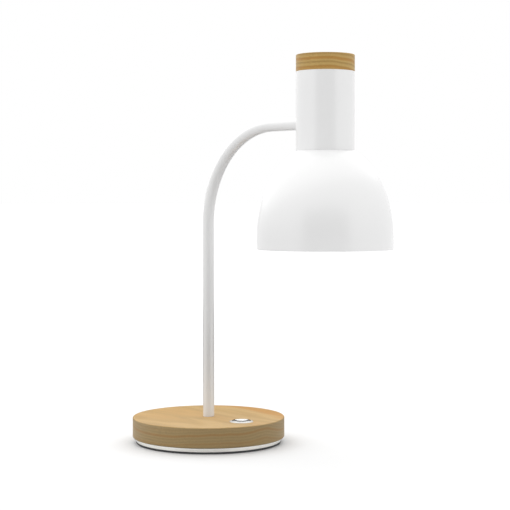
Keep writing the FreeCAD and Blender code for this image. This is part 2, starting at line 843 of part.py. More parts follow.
def holder_insert():
    """Ceramic block that carries the contacts."""
    insert = cylinder(insert_radius, insert_bottom, insert_top, head_reach)
    half = contact_width / 2 + free_gap
    recess = block((head_reach - contact_length / 2, -half, insert_bottom),
                   (head_reach + contact_length / 2, half, insert_bottom + insert_recess))
    return insert.cut(recess)


def holder_contact():
    """Spring tongue of the lamp holder's centre contact."""
    half = contact_width / 2
    near = head_reach - contact_length / 2
    far = head_reach + contact_length / 2
    high = insert_bottom + insert_recess
    face_top = contact_face + contact_thickness
    foot = block((near, -half, high - contact_thickness), (near + contact_length / 3, half, high))
    riser = block((near, -half, contact_face), (near + contact_thickness, half, high))
    tongue = block((near, -half, contact_face), (far - contact_thickness, half, face_top))
    return foot.fuse(riser).fuse(tongue).removeSplitter()


def holder_shell():
    """Brass screw shell."""
    return ring(shell_bore + shell_wall, shell_bore, insert_bottom - shell_length, insert_bottom,
                head_reach)


def shade_ring():
    """Threaded ring that clamps the shade against the lamp holder."""
    body = ring(ring_radius, skirt_radius + press_gap, ring_bottom, ring_top, head_reach)
    for x, y in on_circle(ring_notches, ring_radius, 0.0, head_reach):
        body = body.cut(cylinder(ring_notch_radius, ring_bottom, ring_top, x, y))
    return body


def ellipse_arc(centre, half_width, half_height, angle):
    """Arc of an upright ellipse, from its outer side up to an angle in radians."""
    side = centre + V(half_width, 0, 0)
    crown = centre + V(0, 0, half_height)
    if half_height < half_width:
        return Part.ArcOfEllipse(Part.Ellipse(side, crown, centre), 0, angle)
    quarter = math.pi / 2
    return Part.ArcOfEllipse(Part.Ellipse(crown, side, centre), quarter - angle, quarter)


def bell_edges(inset, low, top):
    """Edges of the bell's outline from height low up to height top, set in from its outside."""
    centre = V(head_reach + shoulder_offset, 0, side_top)
    half_width = shoulder_width - inset
    half_height = shoulder_height - inset
    seat = seat_height - inset
    angle = math.asin((seat - side_top) / half_height)
    flank = centre + V(half_width, 0, 0)
    brow = centre + V(half_width * math.cos(angle), 0, half_height * math.sin(angle))
    neck = V(head_reach + neck_radius - inset, 0, seat)
    return [
        Part.LineSegment(V(flank.x, 0, low), flank).toShape(),
        ellipse_arc(centre, half_width, half_height, angle).toShape(),
        Part.LineSegment(brow, neck).toShape(),
        Part.LineSegment(neck, V(neck.x, 0, top)).toShape(),
    ]


def bell_solid(inset, low, top):
    """Solid bell bounded by an outline set in from the shade's outside."""
    edges = bell_edges(inset, low, top)
    side = edges[0].Vertexes[0].Point
    neck = V(head_reach + neck_radius - inset, 0, top)
    edges.append(Part.LineSegment(neck, V(head_reach, 0, top)).toShape())
    edges.append(Part.LineSegment(V(head_reach, 0, top), V(head_reach, 0, low)).toShape())
    edges.append(Part.LineSegment(V(head_reach, 0, low), side).toShape())
    return turned(Part.__sortEdges__(edges), head_reach)


def lampshade():
    """Spun aluminium bell with a seat for the sleeve, a neck and a flange that the holder clamps."""
    shade = bell_solid(0.0, rim_height, neck_top)
    shade = shade.cut(bell_solid(shade_wall, rim_height, neck_top - shade_wall))
    shade = shade.cut(cylinder(skirt_radius + free_gap, rim_height, neck_top, head_reach))
    rim_edges = edges_at(shade, rim_height)
    return shade.makeFillet(rim_round, rim_edges)


# ---------------------------------------------------------------- bulb pieces
def bulb_tip():
    """Centre contact of the bulb."""
    return cylinder(tip_radius, tip_bottom, contact_face, head_reach)


def bulb_insulator():
    """Coned black insulator between the bulb's centre contact and its screw cap."""
    return turned_corners([(0, insulator_bottom), (insulator_radius, insulator_bottom),
                           (insulator_top_radius, tip_bottom), (0, tip_bottom)], head_reach)


def bulb_screw_cap():
    """Metal screw cap with its rounded thread as rings."""
    root = screw_cap_radius - screw_thread_depth
    cap = cylinder(root, screw_cap_bottom, insulator_bottom, head_reach)
    turns = int(screw_cap_height / screw_thread_pitch) - 1
    for turn in range(turns):
        height = insulator_bottom - screw_thread_pitch * (turn + 1)
        ridge = Part.makeTorus(root, screw_thread_depth, V(head_reach, 0, height), UP)
        cap = cap.fuse(ridge)
    bore = root - screw_cap_wall
    cap = cap.cut(cylinder(bore, screw_cap_bottom, insulator_bottom - screw_cap_wall, head_reach))
    return cap.removeSplitter()


def bulb_body():
    """Moulded collar between screw cap and globe, with a spigot up into the screw cap."""
    spigot = screw_cap_radius - screw_thread_depth - screw_cap_wall - press_gap
    spigot_top = insulator_bottom - screw_cap_wall - free_gap
    outline = [(0, collar_bottom), (collar_radius, collar_bottom),
               (bulb_collar_top_radius, screw_cap_bottom), (spigot, screw_cap_bottom),
               (spigot, spigot_top), (0, spigot_top)]
    return turned_corners(outline, head_reach)


def bulb_globe():
    """Opal globe, open where the collar closes it."""
    centre = V(head_reach, 0, globe_centre)
    globe = Part.makeSphere(globe_radius, centre).cut(Part.makeSphere(globe_radius - globe_wall, centre))
    over = cylinder(globe_radius, collar_bottom, globe_centre + globe_radius + globe_wall, head_reach)
    return globe.cut(over)


def led_board():
    """Round circuit board with its light-emitting chips, under the collar."""
    low = collar_bottom - board_thickness
    board = cylinder(board_radius, low, collar_bottom, head_reach)
    half = chip_side / 2
    for x, y in on_circle(chip_count, chip_circle, 0.0, head_reach):
        chip = block((x - half, y - half, low - chip_height), (x + half, y + half, low))
        board = board.fuse(chip)
    return board


pieces = {
    "foot_pad": foot_pad(),
    "base_plate": base_plate(),
    "wood_base": wood_base(),
    "base_screws": base_screws(),
    "ballast_left": ballast_weight(1),
    "ballast_right": ballast_weight(-1),
    "ballast_screws": ballast_screws(),
    "cable_gland": cable_gland(),
    "terminal_block": terminal_block(),
    "terminal_screws": terminal_screws(),
    "block_screw": block_screw(),
    "stem_tube": stem_tube(),
    "stem_flange": stem_flange(),
    "flange_screws": flange_screws(),
    "stem_lead": stem_lead(),
    "arm_spigot": arm_spigot(),
    "friction_washers": friction_washers(),
    "stop_washer": stop_washer(),
    "disc_spring": disc_spring(),
    "pivot_nut": pivot_nut(),
    "button_cap": button_cap(),
    "button_bezel": button_bezel(),
    "switch_nut": switch_nut(),
    "switch_body": switch_body(),
    "button_spring": button_spring(),
    "switch_lead": switch_lead(),
    "head_bracket": head_bracket(),
    "socket_sleeve": socket_sleeve(),
    "wood_cap": wood_cap(),
    "cap_screws": cap_screws(),
    "holder_nipple": holder_nipple(),
    "holder_nut": holder_nut(),
    "holder_lead": holder_lead(),
    "holder_cap": holder_cap(),
    "holder_skirt": holder_skirt(),
    "holder_insert": holder_insert(),
    "holder_contact": holder_contact(),
    "holder_shell": holder_shell(),
    "shade_ring": shade_ring(),
    "lampshade": lampshade(),
    "bulb_tip": bulb_tip(),
    "bulb_insulator": bulb_insulator(),
    "bulb_screw_cap": bulb_screw_cap(),
    "bulb_body": bulb_body(),
    "bulb_globe": bulb_globe(),
    "led_board": led_board(),
}

os.makedirs("parts", exist_ok=True)
for name, shape in pieces.items():
    shape.exportStep("parts/" + name + ".step")
    print(name, len(shape.Solids), round(shape.Volume, 1), shape.isValid())
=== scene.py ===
"""Looks of a desk lamp with a wooden base and a bell shade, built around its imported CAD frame.

Lengths are metres in the frame's own axes: Z is up from the resting surface, and X is the way the
arm reaches. Each sub-assembly is a class that builds its pieces and dresses the CAD nodes it keeps.
"""

from __future__ import annotations

import logging
import math
from dataclasses import dataclass, field
from enum import Enum

import bmesh
import bpy
from mathutils import Matrix, Quaternion, Vector

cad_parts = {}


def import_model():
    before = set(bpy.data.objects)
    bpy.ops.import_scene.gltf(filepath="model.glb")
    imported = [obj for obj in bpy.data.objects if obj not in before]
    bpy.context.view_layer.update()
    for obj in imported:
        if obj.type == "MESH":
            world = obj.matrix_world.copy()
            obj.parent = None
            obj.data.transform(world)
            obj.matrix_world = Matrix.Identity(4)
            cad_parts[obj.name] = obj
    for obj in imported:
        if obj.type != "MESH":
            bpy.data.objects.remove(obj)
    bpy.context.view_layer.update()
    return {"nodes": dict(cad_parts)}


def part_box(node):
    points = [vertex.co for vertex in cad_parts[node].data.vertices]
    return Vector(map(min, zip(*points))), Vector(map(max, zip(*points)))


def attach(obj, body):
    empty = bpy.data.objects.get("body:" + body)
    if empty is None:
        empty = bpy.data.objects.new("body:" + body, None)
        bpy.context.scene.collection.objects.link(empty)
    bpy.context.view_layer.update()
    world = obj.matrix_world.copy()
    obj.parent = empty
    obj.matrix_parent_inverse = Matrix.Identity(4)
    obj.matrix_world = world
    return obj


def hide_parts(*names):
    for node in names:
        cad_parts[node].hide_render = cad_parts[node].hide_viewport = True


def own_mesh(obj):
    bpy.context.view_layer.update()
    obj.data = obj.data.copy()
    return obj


# short names of types
Point = tuple[float, float, float]
Pair = tuple[float, float]
Solid = bmesh.types.BMesh
Edges = list[bmesh.types.BMEdge]
Piece = bpy.types.Object
Tree = bpy.types.NodeTree
Node = bpy.types.Node
Socket = bpy.types.NodeSocket

MM = 0.001
TO_MM = 1.0 / MM
UP: Point = (0.0, 0.0, 1.0)
ARM: Point = (1.0, 0.0, 0.0)
DOWN = -math.pi / 2           # angle of straight down, from the outward direction
WELD = 1e-7                   # vertices nearer than this are one
SAME_RING = 1e-5              # how near a vertex lies to a corner's ring
SHARP_ANGLE = math.radians(32)
EDGE_SEGMENTS = 4             # facets across a rounded edge
CIRCULAR = 0.5                # Blender's value for a rounded edge that is part of a circle
OVERRUN = 1.0 * MM            # how far a cutting tool runs past a face
PRESS_GAP = 0.02 * MM         # round a pressed or threaded piece, on the radius

# facets in a full turn, from the smallest piece to the broadest
NOTCH_STEPS, GLAND_STEPS, HOLE_STEPS, SMALL_STEPS, DISC_STEPS, BROAD_STEPS = 24, 48, 64, 96, 144, 192

# sockets of Blender's Mix node when it mixes colours
MIX_FACTOR, MIX_A, MIX_B, MIX_RESULT = 0, 6, 7, 2

# octaves of a noise pattern, which say how much detail it has below its own size
PLAIN, SOFT, FINE, ROUGH = 1.0, 2.0, 3.0, 4.0

log = logging.getLogger("desk_lamp")


class Body(Enum):
    """The bodies of the frame that pieces ride on."""

    STAND = "stand"
    BUTTON = "button"
    HEAD = "head"


class Lay(Enum):
    """How a metal surface was made, with the factors that draw its marks out along X, Y and Z."""

    ROLLED = (1.0, 0.03, 1.0)
    TURNED = (0.05, 0.05, 1.0)
    CAST = (1.0, 1.0, 1.0)


# ---------------------------------------------------------------- colours and nodes
def linear(code: str) -> tuple[float, float, float, float]:
    """Turns a colour code into Blender's linear colour, by the sRGB standard's curve.

    Args:
        code: sRGB colour as "#RRGGBB".

    Returns:
        Red, green, blue and full alpha, linear.
    """
    channels = [int(code[at:at + 2], 16) / 255 for at in (1, 3, 5)]
    values = [c / 12.92 if c <= 0.04045 else ((c + 0.055) / 1.055) ** 2.4 for c in channels]
    return (values[0], values[1], values[2], 1.0)


def wire(tree: Tree, node: Node, settings: dict | None = None,
         links: dict[int | str, Socket] | None = None) -> Node:
    """Sets a shader node's values and its incoming links.

    Args:
        tree: node tree that holds the node.
        node: the node.
        settings: values by property name, input name or input number.
        links: output sockets by the name or number of the input they feed.

    Returns:
        The node.
    """
    for key, value in (settings or {}).items():
        if isinstance(key, int) or key in node.inputs:
            node.inputs[key].default_value = value
        else:
            setattr(node, key, value)
    for key, source in (links or {}).items():
        tree.links.new(source, node.inputs[key])
    return node


def add_node(tree: Tree, kind: str, settings: dict | None = None,
             links: dict[int | str, Socket] | None = None) -> Node:
    """Adds a node of Blender's named kind, with settings and links as wire takes them."""
    return wire(tree, tree.nodes.new(kind), settings, links)


def in_millimetres(tree: Tree, stretch: Point = (1.0, 1.0, 1.0),
                   shift: Point = (0.0, 0.0, 0.0)) -> Socket:
    """Gives the object's own coordinates in millimetres, so that pattern scales are real sizes.

    Args:
        tree: node tree of the material.
        stretch: factors along X, Y and Z; a small one draws a pattern out along that axis.
        shift: millimetres taken off before the stretch.

    Returns:
        The socket with the coordinates.
    """
    place = add_node(tree, "ShaderNodeTexCoord")
    size = add_node(tree, "ShaderNodeVectorMath", {"operation": "SCALE", "Scale": TO_MM},
                    {0: place.outputs["Object"]})
    moved = add_node(tree, "ShaderNodeVectorMath", {"operation": "SUBTRACT", 1: shift},
                     {0: size.outputs[0]})
    drawn = add_node(tree, "ShaderNodeVectorMath", {"operation": "MULTIPLY", 1: stretch},
                     {0: moved.outputs[0]})
    return drawn.outputs[0]


def lay_colours(tree: Tree, ground: str | Socket, coats: list[tuple[str, Socket]]) -> Socket:
    """Lays colours over a ground, each as thickly as its own pattern says.

    Args:
        tree: node tree of the material.
        ground: the lowest colour, as a code or a socket.
        coats: colours from the lowest up, each with a socket from 0, where all below it shows,
            to 1, where it hides it.

    Returns:
        Socket with the colour that shows.
    """
    for colour, share in coats:
        coat = add_node(tree, "ShaderNodeMix", {"data_type": "RGBA", MIX_B: linear(colour)},
                        {MIX_FACTOR: share})
        if isinstance(ground, str):
            coat.inputs[MIX_A].default_value = linear(ground)
        else:
            tree.links.new(ground, coat.inputs[MIX_A])
        ground = coat.outputs[MIX_RESULT]
    return ground


def from_to(old: Pair, new: Pair) -> dict[str, float]:
    """Settings that make a Map Range node carry one range of values over to another."""
    return {"From Min": old[0], "From Max": old[1], "To Min": new[0], "To Max": new[1]}


# ---------------------------------------------------------------- finishes
@dataclass(frozen=True)
class Finish:
    """A finish that becomes one Blender material, made once and shared."""

    name: str
    light: str = "#FFFFFF"
    dark: str = "#FFFFFF"
    roughness: float = 0.5
    gloss: Pair = (0.0, 0.0)      # how far the roughness strays down and up
    relief: float = 0.0           # mm, height of the surface's pattern
    bump: float = 0.5             # how strongly that height bends the light

    def material(self) -> bpy.types.Material:
        """Finds the finish's material, or makes it.

        Returns:
            The material.
        """
        found = bpy.data.materials.get(self.name)
        if found:
            return found
        material = bpy.data.materials.new(self.name)
        material.use_nodes = True
        tree = material.node_tree
        tree.nodes.clear()
        shader = add_node(tree, "ShaderNodeBsdfPrincipled")
        add_node(tree, "ShaderNodeOutputMaterial", links={"Surface": shader.outputs["BSDF"]})
        self.paint(tree, shader)
        return material

    def paint(self, tree: Tree, shader: Node) -> None:
        """Sets up the nodes that feed the shader.

        Args:
            tree: node tree of the material.
            shader: its Principled shader.
        """
        raise NotImplementedError

    def tone(self, tree: Tree, share: Socket) -> Socket:
        """The finish's colour, from dark where share is 0 to light where it is 1."""
        return lay_colours(tree, self.dark, [(self.light, share)])

    def skin(self, tree: Tree, shader: Node, colour: Socket, grain: Socket,
             height: Socket | None = None) -> None:
        """Feeds colour, gloss and relief to the shader.

        Args:
            tree: node tree of the material.
            shader: its Principled shader.
            colour: the colour that shows.
            grain: pattern that gloss and relief follow.
            height: pattern of the relief, where it isn't the grain.
        """
        bump = add_node(tree, "ShaderNodeBump", {"Strength": self.bump, "Distance": self.relief * MM},
                        {"Height": grain if height is None else height})
        wire(tree, shader, {"Roughness": self.roughness},
             {"Base Color": colour, "Normal": bump.outputs["Normal"]})
        if any(self.gloss):
            low, high = (self.roughness + stray for stray in self.gloss)
            gloss = add_node(tree, "ShaderNodeMapRange", from_to((0.0, 1.0), (low, high)),
                             {"Value": grain})
            wire(tree, shader, links={"Roughness": gloss.outputs["Result"]})


@dataclass(frozen=True)
class PowderCoat(Finish):
    """Baked polyester powder on metal: an even satin skin with a faint orange peel."""

    light: str = "#E3E3E3"
    dark: str = "#DFDFDF"
    roughness: float = 0.3
    gloss: Pair = (-0.03, 0.03)
    relief: float = 0.006
    specular: float = 1.0         # twice plain plastic's, as the pigment adds sheen
    coat: float = 0.5             # weight of the resin that rises over the pigment as it bakes
    peel: float = 1.1             # mm between the peel's bumps
    cloud: float = 60.0           # mm between slightly lighter and darker places

    def paint(self, tree: Tree, shader: Node) -> None:
        """Sets up peel, tone and gloss.

        Args:
            tree: node tree of the material.
            shader: its Principled shader.
        """
        place = in_millimetres(tree)
        peel = add_node(tree, "ShaderNodeTexNoise", {"Scale": 1 / self.peel, "Detail": SOFT},
                        {"Vector": place})
        cloud = add_node(tree, "ShaderNodeTexNoise", {"Scale": 1 / self.cloud, "Detail": FINE},
                         {"Vector": place})
        self.skin(tree, shader, self.tone(tree, cloud.outputs["Fac"]), peel.outputs["Fac"])
        wire(tree, shader, {"Specular IOR Level": self.specular, "Coat Weight": self.coat,
                            "Coat Roughness": self.roughness})


@dataclass(frozen=True)
class LacqueredWood(Finish):
    """Flat-sawn light hardwood under matt clear lacquer, with the grain along X.

    The growth rings run round a line along X, far below the piece, so its top shows broad flames
    and its side shows level lines. Early wood is light and late wood is dark. Upright faces get
    painted shade that makes them darker and greyer than the top. A value named "along" says how
    fast a pattern changes along the grain, as a share of how fast across it.
    """

    light: str = "#C5A36B"
    dark: str = "#B08E55"
    warm: str = "#BF8A42"
    pore: str = "#6E5030"
    # painted shade on the side: upright faces are mixed towards this grey brown, up to the share
    # below
    edge: str = "#8D8A73"            # grey brown of the painted shade on upright faces
    side_shade_share: float = 0.3
    side_shade_slope: float = 0.7          # upward part of a face's normal below which its painted shade starts
    roughness: float = 0.5
    gloss: Pair = (-0.05, 0.05)
    specular: float = 0.45
    relief: float = 0.03
    bump: float = 0.4
    heart: Pair = (-20.0, -609.5)    # mm in Y and Z, where the rings' centre lies
    ring: float = 3.4                # mm between rings
    ring_along: float = 0.035
    # places across a ring, each with its share of late wood
    ring_stops: tuple[Pair, ...] = ((0.0, 0.15), (0.45, 0.05), (0.82, 0.95), (1.0, 0.15))
    wander: float = 12.0             # mm that the rings stray
    wander_size: float = 46.0        # mm between strays, across the grain
    wander_along: Point = (0.22, 1.0, 0.5)  # shares along X, Y and Z
    warmth: float = 0.8              # share of warm wood in the middle of a warm band
    band: float = 5.0                # mm of growth that one warm band takes
    band_span: Pair = (0.48, 0.72)   # values of its pattern where it starts and is full
    fibre: float = 0.6               # mm across a bundle of fibres
    fibre_along: float = 0.02
    fibre_span: Pair = (0.3, 0.7)    # values of its pattern for the darkest and lightest bundles
    fibre_light: Pair = (0.82, 1.1)  # and how light those are
    pore_width: float = 0.8          # mm between pores; real ones are finer, drawn so that they show
    pore_along: float = 0.09
    pore_span: Pair = (0.16, 0.04)   # distances from a pore's middle where it starts and is full
    pore_share: float = 0.55

    def paint(self, tree: Tree, shader: Node) -> None:
        """Sets up rings, fibres, warm bands, pores, cut edges and lacquer.

        Args:
            tree: node tree of the material.
            shader: its Principled shader.
        """
        depth = self.depth(tree)
        noise = add_node(tree, "ShaderNodeTexNoise", {"Scale": 1 / self.fibre, "Detail": FINE},
                         {"Vector": in_millimetres(tree, (self.fibre_along, 1.0, 1.0))})
        fibres = noise.outputs["Fac"]
        bands = add_node(tree, "ShaderNodeTexNoise", {"noise_dimensions": "1D",
                                                      "Scale": 1 / self.band, "Detail": PLAIN},
                         {"W": depth})
        warm = add_node(tree, "ShaderNodeMapRange", from_to(self.band_span, (0.0, self.warmth)),
                        {"Value": bands.outputs["Fac"]})
        grown = lay_colours(tree, self.light, [(self.dark, self.rings(tree, depth)),
                                               (self.warm, warm.outputs["Result"])])
        bundle = add_node(tree, "ShaderNodeMapRange", from_to(self.fibre_span, self.fibre_light),
                          {"Value": fibres})
        fibred = add_node(tree, "ShaderNodeMix", {"data_type": "RGBA", "blend_type": "MULTIPLY",
                                                  MIX_FACTOR: 1.0},
                          {MIX_A: grown, MIX_B: bundle.outputs["Result"]})
        pores = self.pores(tree)
        # painted shade: upright faces are darkened towards a grey brown, and then the pores are laid
        # on
        colour = lay_colours(tree, fibred.outputs[MIX_RESULT], [(self.edge, self.edges(tree)),
                                                                (self.pore, pores)])
        height = add_node(tree, "ShaderNodeMath", {"operation": "SUBTRACT"}, {0: fibres, 1: pores})
        self.skin(tree, shader, colour, fibres, height.outputs[0])
        wire(tree, shader, {"Specular IOR Level": self.specular})

    def depth(self, tree: Tree) -> Socket:
        """Measures the wandering distance from the rings' centre.

        Args:
            tree: node tree of the material.

        Returns:
            Socket with the distance in millimetres.
        """
        across = in_millimetres(tree, (self.ring_along, 1.0, 1.0), (0.0, *self.heart))
        far = add_node(tree, "ShaderNodeVectorMath", {"operation": "LENGTH"}, {0: across})
        stray = add_node(tree, "ShaderNodeTexNoise", {"Scale": 1 / self.wander_size, "Detail": SOFT},
                         {"Vector": in_millimetres(tree, self.wander_along)})
        bent = add_node(tree, "ShaderNodeMath", {"operation": "MULTIPLY_ADD", 1: self.wander},
                        {0: stray.outputs["Fac"], 2: far.outputs["Value"]})
        return bent.outputs[0]

    def rings(self, tree: Tree, depth: Socket) -> Socket:
        """Makes the growth rings.

        Args:
            tree: node tree of the material.
            depth: distance from the rings' centre.

        Returns:
            Socket from 0 in early wood to 1 in late wood.
        """
        count = add_node(tree, "ShaderNodeMath", {"operation": "DIVIDE", 1: self.ring}, {0: depth})
        part = add_node(tree, "ShaderNodeMath", {"operation": "FRACT"}, {0: count.outputs[0]})
        ramp = add_node(tree, "ShaderNodeValToRGB", links={"Fac": part.outputs[0]})
        ramp.color_ramp.interpolation = "B_SPLINE"
        stops = ramp.color_ramp.elements
        for at, _ in self.ring_stops[1:-1]:
            stops.new(at)
        for stop, (_, late) in zip(stops, self.ring_stops):
            stop.color = (late, late, late, 1.0)
        return ramp.outputs["Color"]

    def edges(self, tree: Tree) -> Socket:
        """Finds the steep faces, which get painted shade.

        Args:
            tree: node tree of the material.

        Returns:
            Socket from 0 on a level top to the painted shade's share on an upright face.
        """
        place = add_node(tree, "ShaderNodeTexCoord")
        facing = add_node(tree, "ShaderNodeSeparateXYZ", links={"Vector": place.outputs["Normal"]})
        share = add_node(tree, "ShaderNodeMapRange",
                         from_to((self.side_shade_slope, 0.0), (0.0, self.side_shade_share)),
                         {"Value": facing.outputs["Z"]})
        return share.outputs["Result"]

    def pores(self, tree: Tree) -> Socket:
        """Makes short open pores along the grain.

        Args:
            tree: node tree of the material.

        Returns:
            Socket that is above 0 in a pore.
        """
        cells = add_node(tree, "ShaderNodeTexVoronoi", {"Scale": 1 / self.pore_width},
                         {"Vector": in_millimetres(tree, (self.pore_along, 1.0, 1.0))})
        share = add_node(tree, "ShaderNodeMapRange", from_to(self.pore_span, (0.0, self.pore_share)),
                         {"Value": cells.outputs["Distance"]})
        return share.outputs["Result"]


@dataclass(frozen=True)
class CellularRubber(Finish):
    """Closed-cell rubber sheet: matt, with a fine foam skin."""

    light: str = "#5E5E60"
    dark: str = "#434345"
    roughness: float = 0.82
    relief: float = 0.05
    bump: float = 0.6
    cell: float = 0.7             # mm across a cell

    def paint(self, tree: Tree, shader: Node) -> None:
        """Sets up foam cells.

        Args:
            tree: node tree of the material.
            shader: its Principled shader.
        """
        cells = add_node(tree, "ShaderNodeTexVoronoi", {"Scale": 1 / self.cell},
                         {"Vector": in_millimetres(tree)}).outputs["Distance"]
        self.skin(tree, shader, self.tone(tree, cells), cells)


@dataclass(frozen=True)
class MouldedPlastic(Finish):
    """Injection moulding: an even colour with faint flow marks and the mould's fine texture."""

    light: str = "#F0F0EE"
    dark: str = "#E9E9E6"
    roughness: float = 0.28
    gloss: Pair = (-0.03, 0.05)
    relief: float = 0.004
    bump: float = 0.4
    texture: float = 0.35         # mm between the mould's spark marks
    flow: float = 14.0            # mm between flow marks
    swirl: float = 1.5            # how far flow marks curl
    glow: float = 0.0             # share of light that spreads under the skin
    glow_depth: float = 1.5       # mm
    glow_tint: Point = (1.0, 0.9, 0.8)  # how far red, green and blue spread, as shares of that

    def paint(self, tree: Tree, shader: Node) -> None:
        """Sets up flow marks, mould texture and glow.

        Args:
            tree: node tree of the material.
            shader: its Principled shader.
        """
        place = in_millimetres(tree)
        texture = add_node(tree, "ShaderNodeTexNoise", {"Scale": 1 / self.texture, "Detail": SOFT},
                           {"Vector": place})
        flow = add_node(tree, "ShaderNodeTexNoise", {"Scale": 1 / self.flow, "Detail": SOFT,
                                                     "Distortion": self.swirl}, {"Vector": place})
        self.skin(tree, shader, self.tone(tree, flow.outputs["Fac"]), texture.outputs["Fac"])
        wire(tree, shader, {"Subsurface Weight": self.glow, "Subsurface Radius": self.glow_tint,
                            "Subsurface Scale": self.glow_depth * MM})


@dataclass(frozen=True)
class BareMetal(Finish):
    """Metal without paint: plated, brass or cast, with the marks of how it was made."""

    light: str = "#C9C9C6"
    dark: str = "#A9A9A7"
    metallic: float = 1.0
    roughness: float = 0.34
    gloss: Pair = (-0.08, 0.1)
    relief: float = 0.008
    mark: float = 0.25            # mm between marks
    stain: float = 20.0           # how many marks a stain is wide
    lay: Lay = Lay.ROLLED

    def paint(self, tree: Tree, shader: Node) -> None:
        """Sets up marks, stains and gloss.

        Args:
            tree: node tree of the material.
            shader: its Principled shader.
        """
        marks = add_node(tree, "ShaderNodeTexNoise", {"Scale": 1 / self.mark, "Detail": ROUGH},
                         {"Vector": in_millimetres(tree, self.lay.value)})
        stains = add_node(tree, "ShaderNodeTexNoise", {"Scale": 1 / (self.stain * self.mark),
                                                       "Detail": FINE},
                          {"Vector": in_millimetres(tree)})
        self.skin(tree, shader, self.tone(tree, stains.outputs["Fac"]), marks.outputs["Fac"])
        wire(tree, shader, {"Metallic": self.metallic})


@dataclass(frozen=True)
class BoardMask(Finish):
    """White solder mask on an aluminium circuit board, with yellow phosphor on its chips."""

    light: str = "#EFEFEA"
    dark: str = "#E4E4DE"
    roughness: float = 0.35
    phosphor: str = "#E8C23C"
    cloud: float = 2.0            # mm between lighter and darker places
    chip_top: float = 270.45      # mm above the resting surface; only the chips hang below it

    def paint(self, tree: Tree, shader: Node) -> None:
        """Sets up mask and chips by height.

        Args:
            tree: node tree of the material.
            shader: its Principled shader.
        """
        place = in_millimetres(tree)
        cloud = add_node(tree, "ShaderNodeTexNoise", {"Scale": 1 / self.cloud}, {"Vector": place})
        height = add_node(tree, "ShaderNodeSeparateXYZ", links={"Vector": place})
        chip = add_node(tree, "ShaderNodeMath", {"operation": "LESS_THAN", 1: self.chip_top},
                        {0: height.outputs["Z"]})
        colour = lay_colours(tree, self.tone(tree, cloud.outputs["Fac"]),
                             [(self.phosphor, chip.outputs[0])])
        wire(tree, shader, {"Roughness": self.roughness}, {"Base Color": colour})


# ---------------------------------------------------------------- the lamp's materials
# satin white with soft broad highlights, which lets the round metal shade itself
WHITE_COAT = PowderCoat("white_powder_coat")
# honey-coloured flames with orange bands on top, and level lines on the side under painted shade that
# dulls it
BASE_WOOD = LacqueredWood("lacquered_base_wood")
# the same wood from nearer its heart: closer to brown, with curved lines and no painted shade on its
# side
CAP_WOOD = LacqueredWood("lacquered_cap_wood", light="#B89857", dark="#8B6B2E", warm="#A87930",
                         heart=(-20.0, 150.0), ring=4.4, wander=9.0, side_shade_share=0.0)
# dark grey line without gloss under the lamp
FOAM = CellularRubber("black_cellular_rubber")
# dull off-white that spreads its highlights
GLAND_RUBBER = MouldedPlastic("white_moulded_rubber", roughness=0.6, light="#E6E6E3",
                              dark="#DEDEDA")
# hard, clean white with a clear highlight
HOLDER_PLASTIC = MouldedPlastic("white_thermoset_moulding", roughness=0.24)
# softer white than the holder's
BULB_PLASTIC = MouldedPlastic("white_bulb_moulding", roughness=0.4)
# milky skin that light sinks into, so its shadows are soft
OPAL = MouldedPlastic("opal_polycarbonate", light="#F7F6F1", dark="#F2F1EB", roughness=0.32,
                      glow=0.6, glow_depth=6.0)
# slightly grey, waxy white
SHEATH = MouldedPlastic("white_cable_sheath", light="#E4E4E1", dark="#DADAD6", roughness=0.45)
# creamy and slightly waxy
NYLON = MouldedPlastic("natural_nylon", light="#E9E6DA", dark="#DFDCCF", roughness=0.4)
# near-black with a grey satin highlight
BLACK_PLASTIC = MouldedPlastic("black_polyamide", light="#232324", dark="#1B1B1C",
                               roughness=0.42)
# chalky cream with a fine grain
CERAMIC = MouldedPlastic("unglazed_steatite", light="#EEEAE0", dark="#E2DDD0", roughness=0.55,
                         texture=0.6, relief=0.02)
# pale silver line that mirrors the floor softly
PLATE_STEEL = BareMetal("satin_nickelled_steel", light="#F2F1EC", dark="#E6E5E0", roughness=0.3)
# near mirror, which shows a bright lens and a dark crescent in the dished face
BUTTON_METAL = BareMetal("bright_chromed_button", light="#D6D5D2", dark="#CBCAC7", roughness=0.17,
                         relief=0.003, lay=Lay.TURNED)
# light even ring, because the satin face blurs what it mirrors
BEZEL_METAL = BareMetal("satin_chromed_bezel", light="#D4D3CF", dark="#C8C7C3", roughness=0.46,
                        relief=0.003, lay=Lay.TURNED)
# mid grey with a fine rolled grain, here on screws and turned parts
ZINC = BareMetal("zinc_plated_steel")
# the same on strip, with a coarser grain
ZINC_STRIP = BareMetal("zinc_plated_strip", mark=0.4)
# darker, slightly brown grey with a sharp highlight along the wire
SPRING_STEEL = BareMetal("spring_steel", light="#B9B7B2", dark="#94928D", roughness=0.28,
                         lay=Lay.TURNED)
# warm yellow with rings from the lathe
BRASS = BareMetal("turned_brass", light="#D9B765", dark="#B8944A", roughness=0.25,
                  lay=Lay.TURNED)
# bright, cool silver thread
PLATED_CAP = BareMetal("plated_bulb_cap", light="#D2D2CF", dark="#B5B5B2", roughness=0.24,
                       lay=Lay.TURNED)
# coarse and nearly black, with little metal shining through its scale
BLACKED_IRON = BareMetal("blacked_cast_iron", light="#3B3A39", dark="#262524", metallic=0.6,
                         roughness=0.68, mark=1.4, relief=0.12, lay=Lay.CAST)
# clean white with yellow squares
BOARD = BoardMask("white_solder_mask")


# ---------------------------------------------------------------- shaping
@dataclass(frozen=True)
class Corner:
    """A corner of an outline that gets turned; round is the radius of its edge."""

    radius: float
    height: float
    round: float = 0.0

    def holds(self, radius: float, height: float) -> bool:
        """Whether a point of this radius and height lies on the corner's ring."""
        return abs(radius - self.radius) < SAME_RING and abs(height - self.height) < SAME_RING


